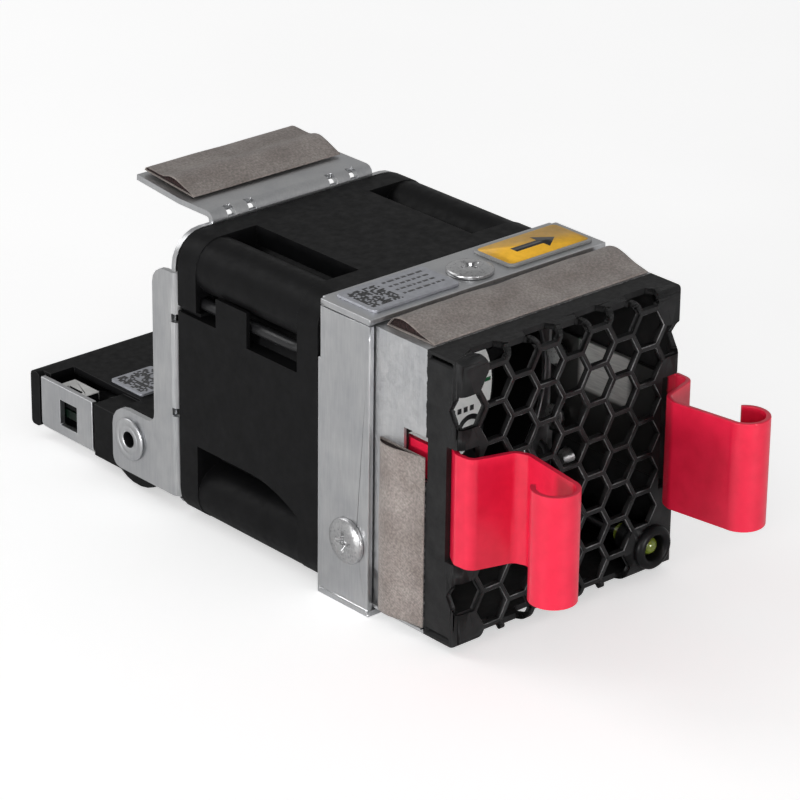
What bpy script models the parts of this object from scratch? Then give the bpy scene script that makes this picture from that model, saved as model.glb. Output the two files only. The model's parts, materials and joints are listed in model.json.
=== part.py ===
# Switch fan tray: a sheet metal tray that holds one 40 mm axial fan, with a honeycomb inlet,
# two sprung latch handles, conductive gaskets and a pivoting rear connector carrier.
#
# Sizes are in millimetres and become metres when a mesh is finished.
# X runs to the right, Y runs from the honeycomb front to the connector, Z runs up.
# The origin is the centre of the underside of the fan mount pan.

import math

import bmesh
import bpy
from mathutils import Vector

# Shared sizes
MM = 0.001
GAP = 0.3
SHEET = 0.8
BEND = 1.2
BEND_STEPS = 3
ROUND_STEPS = 20
BORE_STEPS = 48
TURNED_STEPS = 32
SCREW_STEPS = 14
HOLE_STEPS = 12

# Fan frame
FAN_SIZE = 40.0
FAN_DEPTH = 28.0
FAN_CORNER = 4.0
FAN_HOLE_INSET = 4.0
FAN_HOLE = 3.4
BORE_MARGIN = 1.0
DUCT_WALL = 0.85
FRONT_FLANGE = 4.0
REAR_FLANGE = 3.7
COLUMN_RADIUS = 3.9
SADDLE_INSET = 10.3
SIDE_SADDLE_INSET = 11.3
GUSSET_LENGTH = 9.8
GUSSET_DROP = 2.8
TAB_LENGTH = 6.2
TAB_HEIGHT = 4.9
TAB_THICKNESS = 0.6
TAB_FROM_REAR = 7.8
WIRE_SLIT = 0.8
WIRE_SLIT_DEPTH = 0.8
WIRE_SLIT_ABOVE_SADDLE = 0.8
STRUT_COUNT = 5
STRUT_WIDTH = 1.8
STRUT_DEPTH = 3.2
STRUT_ROOT = 2.0
HUB_BASE_MARGIN = 0.2
HUB_BASE_THICKNESS = 1.4
HUB_BASE_INSET = 1.0

# Rotor and motor
BLADE_COUNT = 7
TIP_CLEARANCE = 0.6
HUB_WALL = 1.0
HUB_CHAMFER = 1.0
IMPELLER_INSET = 4.6
IMPELLER_LENGTH = 20.6
BLADE_MARGIN = 0.8
BLADE_ROOT_PITCH = 62.0
BLADE_TIP_PITCH = 50.0
BLADE_THICKNESS = 1.0
BLADE_CAMBER = 1.3
BLADE_ROOT_SINK = 0.6
BLADE_SECTIONS = 4
BLADE_SAMPLES = 6
YOKE_WALL = 0.7
YOKE_LENGTH = 11.0
MAGNET_WALL = 1.2
STATOR_LENGTH = 7.0
STATOR_TEETH = 4
STATOR_HUB_WALL = 0.7
TOOTH_WIDTH = 1.6
SHOE_THICKNESS = 0.8
SHOE_GAP_DEGREES = 9.0
COIL_SIDE = 0.6
COIL_END = 0.5
COIL_LENGTH = 1.6
SHAFT_RADIUS = 1.0
BEARING_RADIUS = 2.4
BEARING_LENGTH = 2.2
BEARING_TUBE_WALL = 0.7
BOARD_THICKNESS = 0.8
LABEL = 0.2
HUB_LABEL_MARGIN = 0.8

# Fan mount pan
PAN_SIDE_MARGIN = 0.2
PAN_TOP_MARGIN = 0.45
PAN_DEPTH = 9.8
PAN_RELIEF = 0.5
PAN_RELIEF_LENGTH = 8.0

# Front cover with its honeycomb
COVER_FRONT_REACH = 15.4
COVER_OVERLAP = 6.9
CELL_PITCH = 5.03
CELL_WALL = 0.65
CELL_CUT_DEPTH = 2.3
CELL_SIDE_LIMIT = 1.1
HANDLE_SLOT_INWARD = 3.6
HANDLE_SLOT_BACK = 1.5
WINDOW_LENGTH = 4.2
WINDOW_HEIGHT = 6.5
WINDOW_SETBACK = 5.7
WINDOW_ABOVE_AXIS = 4.85

# Cover screws and fan screws
SCREW_HEAD = 6.2
SCREW_HEAD_HEIGHT = 0.9
SCREW_SHANK = 2.6
SCREW_REACH = 3.2
COVER_SCREW_SETBACK = 3.9
SIDE_SCREW_BELOW_LATCH = 2.4
FAN_SCREW_HEAD = 5.0
FAN_SCREW_HEAD_HEIGHT = 1.3
FAN_SCREW_LENGTH = 6.0
HEAD_ROUND = 0.6
RECESS_SPAN = 2.8
RECESS_WIDTH = 0.7
RECESS_DEPTH = 0.6

# Latch springs
LATCH_FROM_FAN_UNDERSIDE = 11.45
LATCH_FROM_FAN_TOP = 11.85
LATCH_SHEET = 0.9
LATCH_REAR_MARGIN = 0.3
LATCH_RIVET_SETBACK = 2.2
LATCH_RIVET_HEAD = 3.4
LATCH_RIVET_SHANK = 1.8
LATCH_RIVET_HEAD_HEIGHT = 0.6
LATCH_RIVET_INSET = 3.85
LATCH_SHOULDER_OUT = 1.95
LATCH_SHOULDER_FORWARD = 2.9
LATCH_STEP_IN = 3.35
LATCH_STEP_FORWARD = 3.9
LATCH_PANEL_IN = 5.65
LATCH_PANEL_FORWARD = 5.3
LATCH_CURL_RADIUS = 3.1
LATCH_CURL_FORWARD = 15.2
LATCH_CURL_DEGREES = 244.0
LATCH_CURL_STEPS = 14
LATCH_BEND = 1.0
LATCH_ROOT_BEND = 2.0
LATCH_LEAN = 0.2

# Gaskets
GASKET_FABRIC = 0.35
GASKET_HEIGHT = 1.8
GASKET_WIDTH = 9.4
GASKET_SETBACK = 5.5
GASKET_PEAK = 0.68
GASKET_LIP = 0.22
FOAM_FILL = 0.78
TOP_GASKET_INSET = 0.4
SIDE_GASKET_WIDTH = 7.5
SIDE_GASKET_SETBACK = 5.1
SIDE_GASKET_HEIGHT = 1.1
SIDE_GASKET_LOW = 2.6
SIDE_GASKET_ABOVE_AXIS = 5.85
TONGUE_GASKET_INSET = 1.1
TONGUE_GASKET_WIDTH = 10.6
TONGUE_GASKET_START = 5.2
GASKET_ROOT_LIFT = 0.17

# Rear bracket
BRACKET_MARGIN = 0.1
BRACKET_CORNER = 4.5
EAR_LOW = 2.8
EAR_ABOVE_AXIS = 14.45
EAR_REACH = 5.0
EAR_CORNER = 2.5
EAR_RELIEF = 0.4
FOOT_REACH = 14.2
FOOT_HEIGHT = 9.1
FOOT_CORNER = 3.0
FOOT_FILLET = 1.5
EAR_SLOT_HEIGHT = 1.2
EAR_SLOT_ABOVE_FOOT = 3.1
EAR_SLOT_BELOW_TOP = 6.4
TONGUE_INSET = 6.3
TONGUE_RISE = 0.6
TONGUE_FLAT = 7.0
TONGUE_LENGTH = 16.0
TONGUE_TIP_RISE = 0.8
TONGUE_BEND = 6.0
TONGUE_SLOT = 1.3
TONGUE_SLOT_INSET = 3.2
TONGUE_SLOT_PITCH = 3.6

# Connector carrier
PIVOT_REACH = 10.2
PIVOT_Z = 7.9
LUG_RADIUS = 7.2
LUG_THICKNESS = 1.6
RIVET_HEAD = 6.0
RIVET_HEAD_HEIGHT = 0.4
RIVET_SHANK = 3.6
RIVET_BORE = 2.4
RIVET_CHAMFER = 0.3
RIVET_FLARE_INSET = 0.5
CARRIER_REACH = 34.1
CARRIER_LOW = 1.8
CARRIER_HIGH = 9.9
CARRIER_INSET = 1.0
COVER_TOP = 1.0
COVER_SETBACK = 4.9
COVER_REAR_WALL = 2.0
COVER_EDGE = 0.6
SHELF_DROP = 0.4
CUTOUT_INWARD = 5.2
CUTOUT_FROM_REAR = 18.2
CUTOUT_REAR_MARGIN = 3.2
TRAY_LOW = 1.7
TRAY_DROP = 0.3
TRAY_FROM_REAR = 14.0
TRAY_REAR_MARGIN = 2.4
TRAY_SQUARE = 3.8
TRAY_SQUARE_FROM_REAR = 6.2
ADAPTER_Z = 4.6
ADAPTER_THICKNESS = 1.2
ADAPTER_LENGTH = 10.6
BLIND_CONNECTOR_WIDTH = 24.0
BLIND_CONNECTOR_HEIGHT = 2.4
BLIND_CONNECTOR_DEPTH = 5.6
CAVITY_PITCH = 2.5
CAVITY_SIZE = 1.1
CAVITY_DEPTH = 2.0
HEADER_LENGTH = 6.8
HEADER_HEIGHT = 1.2
PLUG_WIDTH = 2.4
PLUG_LENGTH = 5.6
PLUG_HEIGHT = 1.7
PLUG_INSET = 2.3
PLUG_FROM_REAR = 8.4
PLUG_GROOVE_INSET = 1.2
PLUG_GROOVE_DEPTH = 0.4
PLUG_GROOVE_WIDTH = 0.5

# Leads
LEAD_SPACING = 5.0
LEAD_RADIUS = 0.8
LEAD_EDGE = 1.8
LEAD_ABOVE_SADDLE = 2.35
INDICATOR_LEAD_RADIUS = 0.5
INDICATOR_LEAD_BELOW_SADDLE = 2.0
LEAD_GATE_X = 5.0

# Indicator
INDICATOR_INSET = 4.5
INDICATOR_RISE = 3.8
BEZEL_RADIUS = 3.0
BEZEL_PROUD = 1.0
BEZEL_LENGTH = 4.2
BEZEL_BORE = 1.6
BEZEL_CHAMFER = 0.4
LENS_RADIUS = 1.25
LAMP_TAIL = 1.4

# Labels
LABEL_FROM_EDGE = 0.9
ORIENTATION_LABEL_FROM_SCREW = 1.4
ORIENTATION_LABEL_WIDTH = 7.6
ORIENTATION_LABEL_CORNER = 1.0
INFO_LABEL_FROM_EDGE = 1.8
INFO_LABEL_FROM_SCREW = 0.9
INFO_LABEL_WIDTH = 7.4
LABEL_CORNER = 0.3
CARRIER_LABEL_LENGTH = 7.2
CARRIER_LABEL_WIDTH = 7.0
CARRIER_LABEL_INSET = 9.5
CARRIER_LABEL_FROM_REAR = 14.0

# Places that follow from the sizes
PAN_WIDTH = FAN_SIZE + 2 * PAN_SIDE_MARGIN
PAN_HEIGHT = FAN_SIZE + 2 * PAN_TOP_MARGIN
FAN_BORE = FAN_SIZE - 2 * BORE_MARGIN
DUCT_OUTER = FAN_BORE + 2 * DUCT_WALL
AXIS_Z = PAN_HEIGHT / 2
PAN_FRONT = -PAN_DEPTH / 2
PAN_REAR = PAN_DEPTH / 2
FAN_FRONT = PAN_REAR + GAP
FAN_REAR = FAN_FRONT + FAN_DEPTH
FAN_HALF = FAN_SIZE / 2
PLATE_FRONT = FAN_REAR + GAP
PLATE_REAR = PLATE_FRONT + SHEET
COVER_HALF = PAN_WIDTH / 2 - SHEET - GAP
COVER_LOW = SHEET + GAP
COVER_TOP_Z = PAN_HEIGHT - SHEET - GAP
COVER_FRONT = PAN_FRONT - COVER_FRONT_REACH
COVER_REAR = PAN_FRONT + COVER_OVERLAP
HALF_SPACING = FAN_HALF - FAN_HOLE_INSET
SADDLE_HALF_WIDTH = FAN_HALF - SADDLE_INSET
SIDE_SADDLE_HALF_HEIGHT = FAN_HALF - SIDE_SADDLE_INSET
TUBE_RADIUS = BEARING_RADIUS + GAP + BEARING_TUBE_WALL
COIL_INNER = TUBE_RADIUS + 2 * GAP + STATOR_HUB_WALL
SHOE_RADIUS = COIL_INNER + COIL_LENGTH + GAP + SHOE_THICKNESS
MAGNET_RADIUS = SHOE_RADIUS + GAP + MAGNET_WALL
YOKE_RADIUS = MAGNET_RADIUS + GAP + YOKE_WALL
HUB_RADIUS = YOKE_RADIUS + GAP + HUB_WALL
HUB_BASE_RADIUS = HUB_RADIUS + HUB_BASE_MARGIN
COVER_SCREW_Y = PAN_FRONT + COVER_SCREW_SETBACK
PIVOT_Y = PLATE_FRONT + PIVOT_REACH
LATCH_X = COVER_HALF - SHEET - GAP - LATCH_SHEET / 2
LATCH_LOW = AXIS_Z - FAN_HALF + LATCH_FROM_FAN_UNDERSIDE
LATCH_HIGH = AXIS_Z + FAN_HALF - LATCH_FROM_FAN_TOP
SIDE_SCREW_Z = LATCH_LOW - SIDE_SCREW_BELOW_LATCH
HANDLE_SLOT_LOW = LATCH_LOW - GAP
HANDLE_SLOT_HIGH = LATCH_HIGH + GAP
LATCH_HINGE_Y = COVER_REAR - LATCH_RIVET_SETBACK
BRACKET_WIDTH = FAN_SIZE + 2 * BRACKET_MARGIN
EAR_HIGH = AXIS_Z + EAR_ABOVE_AXIS
TONGUE_WIDTH = BRACKET_WIDTH - 2 * TONGUE_INSET
TONGUE_Z = PAN_HEIGHT + TONGUE_RISE
CARRIER_REAR = PLATE_FRONT + CARRIER_REACH
CARRIER_HALF_WIDTH = BRACKET_WIDTH / 2 - CARRIER_INSET
COVER_FORWARD = PLATE_FRONT + COVER_SETBACK
CUTOUT_FRONT = CARRIER_REAR - CUTOUT_FROM_REAR
TRAY_FRONT = CARRIER_REAR - TRAY_FROM_REAR
ADAPTER_REAR = CARRIER_REAR - COVER_REAR_WALL - GAP
PLUG_X = PLUG_INSET - CARRIER_HALF_WIDTH
INDICATOR_X = COVER_HALF - INDICATOR_INSET
INDICATOR_Z = COVER_LOW + INDICATOR_RISE


# Outlines

def arc(centre, radius, start, end, steps):
    """Points on an arc, in degrees, both ends included."""
    points = []
    for step in range(steps + 1):
        angle = math.radians(start + (end - start) * step / steps)
        points.append((centre[0] + radius * math.cos(angle), centre[1] + radius * math.sin(angle)))
    return points


def circle(centre, radius, count=ROUND_STEPS):
    return arc(centre, radius, 0.0, 360.0, count)[:-1]


def filleted(points, radii, closed=True, steps=BEND_STEPS):
    """Round the corners of a path; a radius of 0 keeps the corner sharp."""
    rounded = []
    count = len(points)
    for index, point in enumerate(points):
        radius = radii[index]
        at_end = not closed and index in (0, count - 1)
        if at_end or radius <= 0.0:
            rounded.append(point)
            continue
        corner = Vector(point)
        before = (Vector(points[index - 1]) - corner).normalized()
        after = (Vector(points[(index + 1) % count]) - corner).normalized()
        half = before.angle(after) / 2
        reach = radius / math.tan(half)
        middle = corner + (before + after).normalized() * (radius / math.sin(half))
        first = corner + before * reach - middle
        last = corner + after * reach - middle
        start = math.degrees(math.atan2(first.y, first.x))
        turn = math.degrees(math.atan2(first.x * last.y - first.y * last.x, first.dot(last)))
        rounded += arc(middle, radius, start, start + turn, steps)
    return rounded


def rectangle(low, high, radius=0.0, steps=BEND_STEPS):
    points = [(low[0], low[1]), (high[0], low[1]), (high[0], high[1]), (low[0], high[1])]
    return filleted(points, [radius] * 4, steps=steps)


def bent_strip(path, thickness):
    """Closed outline of a sheet of even thickness that follows an open path."""
    sides = ([], [])
    for index, point in enumerate(path):
        here = Vector(point)
        before = (here - Vector(path[index - 1])).normalized() if index else None
        after = (Vector(path[index + 1]) - here).normalized() if index + 1 < len(path) else None
        along = before or after
        if before and after:
            along = (before + after).normalized()
        normal = Vector((-along.y, along.x))
        reach = thickness / 2 / (max(0.4, along.dot(before or after)))
        sides[0].append(tuple(here + normal * reach))
        sides[1].append(tuple(here - normal * reach))
    return sides[0] + sides[1][::-1]


# Solids, each a plain mesh object in millimetres

def place_in_space(axis, u, v, along):
    """Outline coordinates to space: (y, z) on X, (x, z) on Y and (x, y) on Z."""
    if axis == 'X':
        return (along, u, v)
    if axis == 'Y':
        return (u, along, v)
    return (u, v, along)


def solid_from(bm):
    bmesh.ops.recalc_face_normals(bm, faces=bm.faces)
    if bm.calc_volume(signed=True) < 0.0:
        bmesh.ops.reverse_faces(bm, faces=bm.faces)
    mesh = bpy.data.meshes.new("solid")
    bm.to_mesh(mesh)
    bm.free()
    solid = bpy.data.objects.new("solid", mesh)
    bpy.context.scene.collection.objects.link(solid)
    return solid


def prism(outline, axis, low, high):
    bm = bmesh.new()
    rings = []
    for along in (low, high):
        rings.append([bm.verts.new(place_in_space(axis, u, v, along)) for u, v in outline])
    count = len(outline)
    bm.faces.new(rings[0])
    bm.faces.new(rings[1])
    for index in range(count):
        following = (index + 1) % count
        bm.faces.new((rings[0][index], rings[0][following], rings[1][following], rings[1][index]))
    return solid_from(bm)


def block(low, high):
    return prism(rectangle(low[:2], high[:2]), 'Z', low[2], high[2])


def cylinder(centre, radius, axis, low, high, count=ROUND_STEPS):
    return prism(circle(centre, radius, count), axis, low, high)


def turned(profile, axis, centre, count=ROUND_STEPS):
    """Revolve a closed profile of (radius, place along the axis) about a line along the axis."""
    bm = bmesh.new()
    rings = []
    for radius, along in profile:
        if radius < 1e-6:
            vert = bm.verts.new(place_in_space(axis, centre[0], centre[1], along))
            rings.append([vert] * count)
            continue
        points = circle(centre, radius, count)
        rings.append([bm.verts.new(place_in_space(axis, u, v, along)) for u, v in points])
    for index, ring in enumerate(rings):
        following = rings[(index + 1) % len(rings)]
        for step in range(count):
            beyond = (step + 1) % count
            corners = []
            for vert in (ring[step], ring[beyond], following[beyond], following[step]):
                if vert not in corners:
                    corners.append(vert)
            if len(corners) > 2:
                bm.faces.new(corners)
    return solid_from(bm)


def combine(target, tool, operation):
    modifier = target.modifiers.new(operation, 'BOOLEAN')
    modifier.operation = operation
    modifier.solver = 'EXACT'
    modifier.object = tool
    evaluated = target.evaluated_get(bpy.context.evaluated_depsgraph_get())
    mesh = bpy.data.meshes.new_from_object(evaluated)
    target.modifiers.clear()
    target.data = mesh
    bpy.data.objects.remove(tool)
    return target


def cut(target, *tools):
    for tool in tools:
        combine(target, tool, 'DIFFERENCE')
    return target


def join(target, *tools):
    for tool in tools:
        combine(target, tool, 'UNION')
    return target


def group(*solids):
    """Several separate cutters in one mesh."""
    bm = bmesh.new()
    for solid in solids:
        bm.from_mesh(solid.data)
        bpy.data.objects.remove(solid)
    return solid_from(bm)


def mirror_of(solid):
    """A second solid, mirrored across the plane X = 0."""
    bm = bmesh.new()
    bm.from_mesh(solid.data)
    for vert in bm.verts:
        vert.co.x = -vert.co.x
    return solid_from(bm)


def tube(name, points, radius):
    """A lead: a curve with a round bevel and closed ends."""
    curve = bpy.data.curves.new(name, 'CURVE')
    curve.dimensions = '3D'
    curve.bevel_depth = radius * MM
    curve.bevel_resolution = 2
    curve.use_fill_caps = True
    spline = curve.splines.new('POLY')
    spline.points.add(len(points) - 1)
    for spline_point, point in zip(spline.points, points):
        spline_point.co = (point[0] * MM, point[1] * MM, point[2] * MM, 1.0)
    return curve


def smooth_route(points, spacing):
    """Points every so many millimetres on a smooth curve through a route."""
    vectors = [Vector(point) for point in points]
    vectors = [2 * vectors[0] - vectors[1]] + vectors + [2 * vectors[-1] - vectors[-2]]
    route = [tuple(vectors[1])]
    for index in range(1, len(vectors) - 2):
        p0, p1, p2, p3 = vectors[index - 1:index + 3]
        steps = max(1, round((p2 - p1).length / spacing))
        for step in range(1, steps + 1):
            t = step / steps
            place = 0.5 * (2 * p1 + (p2 - p0) * t + (2 * p0 - 5 * p1 + 4 * p2 - p3) * t * t
                           + (3 * p1 - p0 - 3 * p2 + p3) * t * t * t)
            route.append(tuple(place))
    return route


# Materials

def material(name, colour, roughness, metallic=0.0):
    made = bpy.data.materials.new(name)
    made.use_nodes = True
    shader = made.node_tree.nodes["Principled BSDF"]
    shader.inputs["Base Color"].default_value = (*colour, 1.0)
    shader.inputs["Roughness"].default_value = roughness
    shader.inputs["Metallic"].default_value = metallic
    made.diffuse_color = (*colour, 1.0)
    return made


ZINC = dict(colour=(0.52, 0.53, 0.54), roughness=0.38, metallic=1.0)
BLACK_COAT = dict(colour=(0.026, 0.026, 0.028), roughness=0.55)
BLACK_PLASTIC = dict(colour=(0.017, 0.017, 0.018), roughness=0.42)
PINK_COAT = dict(colour=(0.85, 0.02, 0.09), roughness=0.32)
CLOTH = dict(colour=(0.36, 0.31, 0.28), roughness=0.7, metallic=0.3)
FOAM = dict(colour=(0.03, 0.022, 0.022), roughness=0.95)
STEEL = dict(colour=(0.6, 0.6, 0.6), roughness=0.3, metallic=1.0)
COPPER = dict(colour=(0.72, 0.3, 0.14), roughness=0.35, metallic=1.0)
BOARD_GREEN = dict(colour=(0.02, 0.14, 0.05), roughness=0.5)
NYLON = dict(colour=(0.72, 0.72, 0.7), roughness=0.5)
PAPER = dict(colour=(0.8, 0.8, 0.8), roughness=0.6)
SILVER_FILM = dict(colour=(0.4, 0.41, 0.44), roughness=0.45, metallic=0.4)
YELLOW_FILM = dict(colour=(0.82, 0.42, 0.02), roughness=0.5)
LENS = dict(colour=(0.12, 0.16, 0.02), roughness=0.15)


# Nodes of the model

def empty(name, place):
    holder = bpy.data.objects.new(name, None)
    holder.location = Vector(place) * MM
    bpy.context.scene.collection.objects.link(holder)
    return holder


def node(name, solid, look, origin=(0.0, 0.0, 0.0), parent=None):
    """Name a solid, move its origin, turn it to metres and give it a material of its own."""
    start = Vector(origin)
    bm = bmesh.new()
    bm.from_mesh(solid.data)
    bmesh.ops.remove_doubles(bm, verts=bm.verts, dist=0.0005)
    for vert in bm.verts:
        vert.co = (vert.co - start) * MM
    mesh = bpy.data.meshes.new(name)
    bm.to_mesh(mesh)
    bm.free()
    mesh.shade_smooth()
    mesh.set_sharp_from_angle(angle=math.radians(32.0))
    mesh.materials.append(material(name + "_finish", **look))
    bpy.data.objects.remove(solid)
    made = bpy.data.objects.new(name, mesh)
    bpy.context.scene.collection.objects.link(made)
    return seat(made, start, parent)


def lead_node(name, route, radius, look, parent):
    curve = tube(name, smooth_route(route, LEAD_SPACING * radius), radius)
    curve.materials.append(material(name + "_finish", **look))
    made = bpy.data.objects.new(name, curve)
    bpy.context.scene.collection.objects.link(made)
    return seat(made, Vector((0.0, 0.0, 0.0)), parent)


def seat(made, start, parent):
    made.location = start * MM
    if parent is not None:
        made.parent = parent
        made.location = start * MM - parent.location
    return made


# Sheet metal

def folded_pan(half_width, low, high, closed_y, open_y):
    """Four flanges folded from a square plate, with open seams at the corners."""
    inner = SHEET / 2
    middle = closed_y + inner * (1 if open_y > closed_y else -1)
    side = half_width - inner
    across = [(-side, open_y), (-side, middle), (side, middle), (side, open_y)]
    across = bent_strip(filleted(across, [0, BEND - inner, BEND - inner, 0], closed=False), SHEET)
    floor, roof = low + inner, high - inner
    over = [(open_y, floor), (middle, floor), (middle, roof), (open_y, roof)]
    over = bent_strip(filleted(over, [0, BEND - inner, BEND - inner, 0], closed=False), SHEET)
    walls = prism(across, 'Z', low + BEND, high - BEND)
    return join(walls, prism(over, 'X', -half_width + BEND, half_width - BEND))


def screw_places():
    """Cover screws: axis, sign along it, and the other two coordinates as an outline centre."""
    return (('Z', 1, (0.0, COVER_SCREW_Y), PAN_HEIGHT),
            ('X', -1, (COVER_SCREW_Y, SIDE_SCREW_Z), -PAN_WIDTH / 2),
            ('X', 1, (COVER_SCREW_Y, SIDE_SCREW_Z), PAN_WIDTH / 2))


def corner_places():
    places = []
    for right in (-1, 1):
        for up in (-1, 1):
            places.append((right * HALF_SPACING, AXIS_Z + up * HALF_SPACING))
    return places


def clear_screws(target):
    """Holes for the three cover screws."""
    for axis, sign, centre, surface in screw_places():
        ends = sorted((surface + sign, surface - sign * (SCREW_REACH + 1.0)))
        cut(target, cylinder(centre, SCREW_SHANK / 2 + GAP, axis, *ends, count=HOLE_STEPS))


def fan_mount_pan():
    pan = folded_pan(PAN_WIDTH / 2, 0.0, PAN_HEIGHT, PAN_REAR, PAN_FRONT)
    cut(pan, cylinder((0.0, AXIS_Z), FAN_BORE / 2, 'Y', PAN_REAR - 2 * SHEET, PAN_REAR + 1, BORE_STEPS))
    for centre in corner_places():
        cut(pan, cylinder(centre, FAN_HOLE / 2, 'Y', PAN_REAR - 2 * SHEET, PAN_REAR + 1, HOLE_STEPS))
    clear_screws(pan)
    relief_start = PAN_REAR - PAN_RELIEF
    half = PAN_WIDTH / 2
    reliefs = []
    for sign in (-1, 1):
        edge = sorted((sign * (half + 1), sign * (half - SHEET)))
        for low in (0.0, PAN_HEIGHT - PAN_RELIEF_LENGTH):
            high = low + PAN_RELIEF_LENGTH
            reliefs.append(block((edge[0], relief_start, low), (edge[1], PAN_REAR + 1, high)))
    for low in (-half, half - PAN_RELIEF_LENGTH):
        reliefs.append(block((low, relief_start, PAN_HEIGHT - SHEET),
                             (low + PAN_RELIEF_LENGTH, PAN_REAR + 1, PAN_HEIGHT + 1)))
    cut(pan, *reliefs)
    return cut(pan, lead_channel(indicator_lead_x(), indicator_lead_z(), INDICATOR_LEAD_RADIUS,
                                 PAN_REAR - 2 * SHEET, PAN_REAR + 1))


def cell_outline(x, z):
    """One flat-topped honeycomb cell, cut short where it would reach the side bend."""
    radius = (CELL_PITCH - CELL_WALL) / math.sqrt(3.0)
    limit = COVER_HALF - CELL_SIDE_LIMIT
    corners = circle((x, z), radius, 6)
    kept = []
    for index, here in enumerate(corners):
        following = corners[(index + 1) % 6]
        if abs(here[0]) <= limit:
            kept.append(here)
        if (abs(here[0]) <= limit) != (abs(following[0]) <= limit):
            edge = math.copysign(limit, x)
            share = (edge - here[0]) / (following[0] - here[0])
            kept.append((edge, here[1] + share * (following[1] - here[1])))
    return kept


def honeycomb_cells():
    """Centres of the cells: full columns between the handles, and single cells above and below them."""
    step = CELL_PITCH * math.sqrt(3.0) / 2
    columns = int((COVER_HALF - CELL_SIDE_LIMIT) / step)
    rows = int((COVER_TOP_Z - COVER_LOW) / 2 / CELL_PITCH + 0.5)
    radius = CELL_PITCH / math.sqrt(3.0)
    cells = []
    for column in range(-columns, columns + 1):
        x = column * step
        shift = 0.5 if column % 2 == 0 else 0.0
        for row in range(-rows, rows + 1):
            z = AXIS_Z + (row + shift) * CELL_PITCH
            near_handle = abs(x) + radius > COVER_HALF - HANDLE_SLOT_INWARD + CELL_WALL
            if row + shift > rows or (near_handle and not clears_handle(z, radius)):
                continue
            if math.hypot(x - INDICATOR_X, z - INDICATOR_Z) > BEZEL_RADIUS + (CELL_PITCH - CELL_WALL) / 2:
                cells.append((x, z))
    return cells


def clears_handle(z, radius):
    """Whether a cell of that height fits between a handle slot and the bend of the cover."""
    if z > AXIS_Z:
        return HANDLE_SLOT_HIGH < z - radius and z + radius < COVER_TOP_Z - BEND
    return z + radius < HANDLE_SLOT_LOW and COVER_LOW + BEND < z - radius


def front_cover():
    cover = folded_pan(COVER_HALF, COVER_LOW, COVER_TOP_Z, COVER_FRONT, COVER_REAR)
    cutters = []
    for x, z in honeycomb_cells():
        cutters.append(prism(cell_outline(x, z), 'Y', COVER_FRONT - 1, COVER_FRONT + CELL_CUT_DEPTH))
    cut(cover, group(*cutters))
    slot_rear = COVER_FRONT + SHEET + HANDLE_SLOT_BACK
    window_front = COVER_FRONT + WINDOW_SETBACK
    window_z = AXIS_Z + WINDOW_ABOVE_AXIS
    for sign in (-1, 1):
        across = sorted((sign * (COVER_HALF + 1), sign * (COVER_HALF - HANDLE_SLOT_INWARD)))
        cut(cover, block((across[0], COVER_FRONT - 1, HANDLE_SLOT_LOW),
                         (across[1], slot_rear, HANDLE_SLOT_HIGH)))
        wall = sorted((sign * (COVER_HALF + 1), sign * (COVER_HALF - 2 * SHEET)))
        cut(cover, block((wall[0], window_front, window_z - WINDOW_HEIGHT / 2),
                         (wall[1], window_front + WINDOW_LENGTH, window_z + WINDOW_HEIGHT / 2)))
        for z in latch_rivet_heights():
            hole = LATCH_RIVET_SHANK / 2 + GAP
            cut(cover, cylinder((LATCH_HINGE_Y, z), hole, 'X', *wall, count=HOLE_STEPS))
    clear_screws(cover)
    cut(cover, cylinder((INDICATOR_X, INDICATOR_Z), BEZEL_RADIUS - 2 * GAP, 'Y',
                        COVER_FRONT - 1, COVER_FRONT + 2 * SHEET))
    return cover


# Fan

def fan_outline():
    low = (-FAN_HALF, AXIS_Z - FAN_HALF)
    high = (FAN_HALF, AXIS_Z + FAN_HALF)
    return rectangle(low, high, FAN_CORNER, steps=6)


def side_saddle_outline():
    """Left side wall of the duct: flat, with a gusset that curves down to the front flange."""
    front = FAN_FRONT + FRONT_FLANGE
    rear = FAN_REAR - REAR_FLANGE
    tab_rear = FAN_REAR - TAB_FROM_REAR
    low = AXIS_Z - SIDE_SADDLE_HALF_HEIGHT
    high = AXIS_Z + SIDE_SADDLE_HALF_HEIGHT
    step_up = high + WIRE_SLIT_ABOVE_SADDLE
    points = [(front - 1, low - GUSSET_DROP)]
    for step in range(6):
        share = 1 - step / 5
        points.append((front + GUSSET_LENGTH * (1 - share), low - GUSSET_DROP * share * share))
    return points + [(rear + 1, low), (rear + 1, step_up), (tab_rear, step_up), (tab_rear, high),
                     (front - 1, high)]


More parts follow.
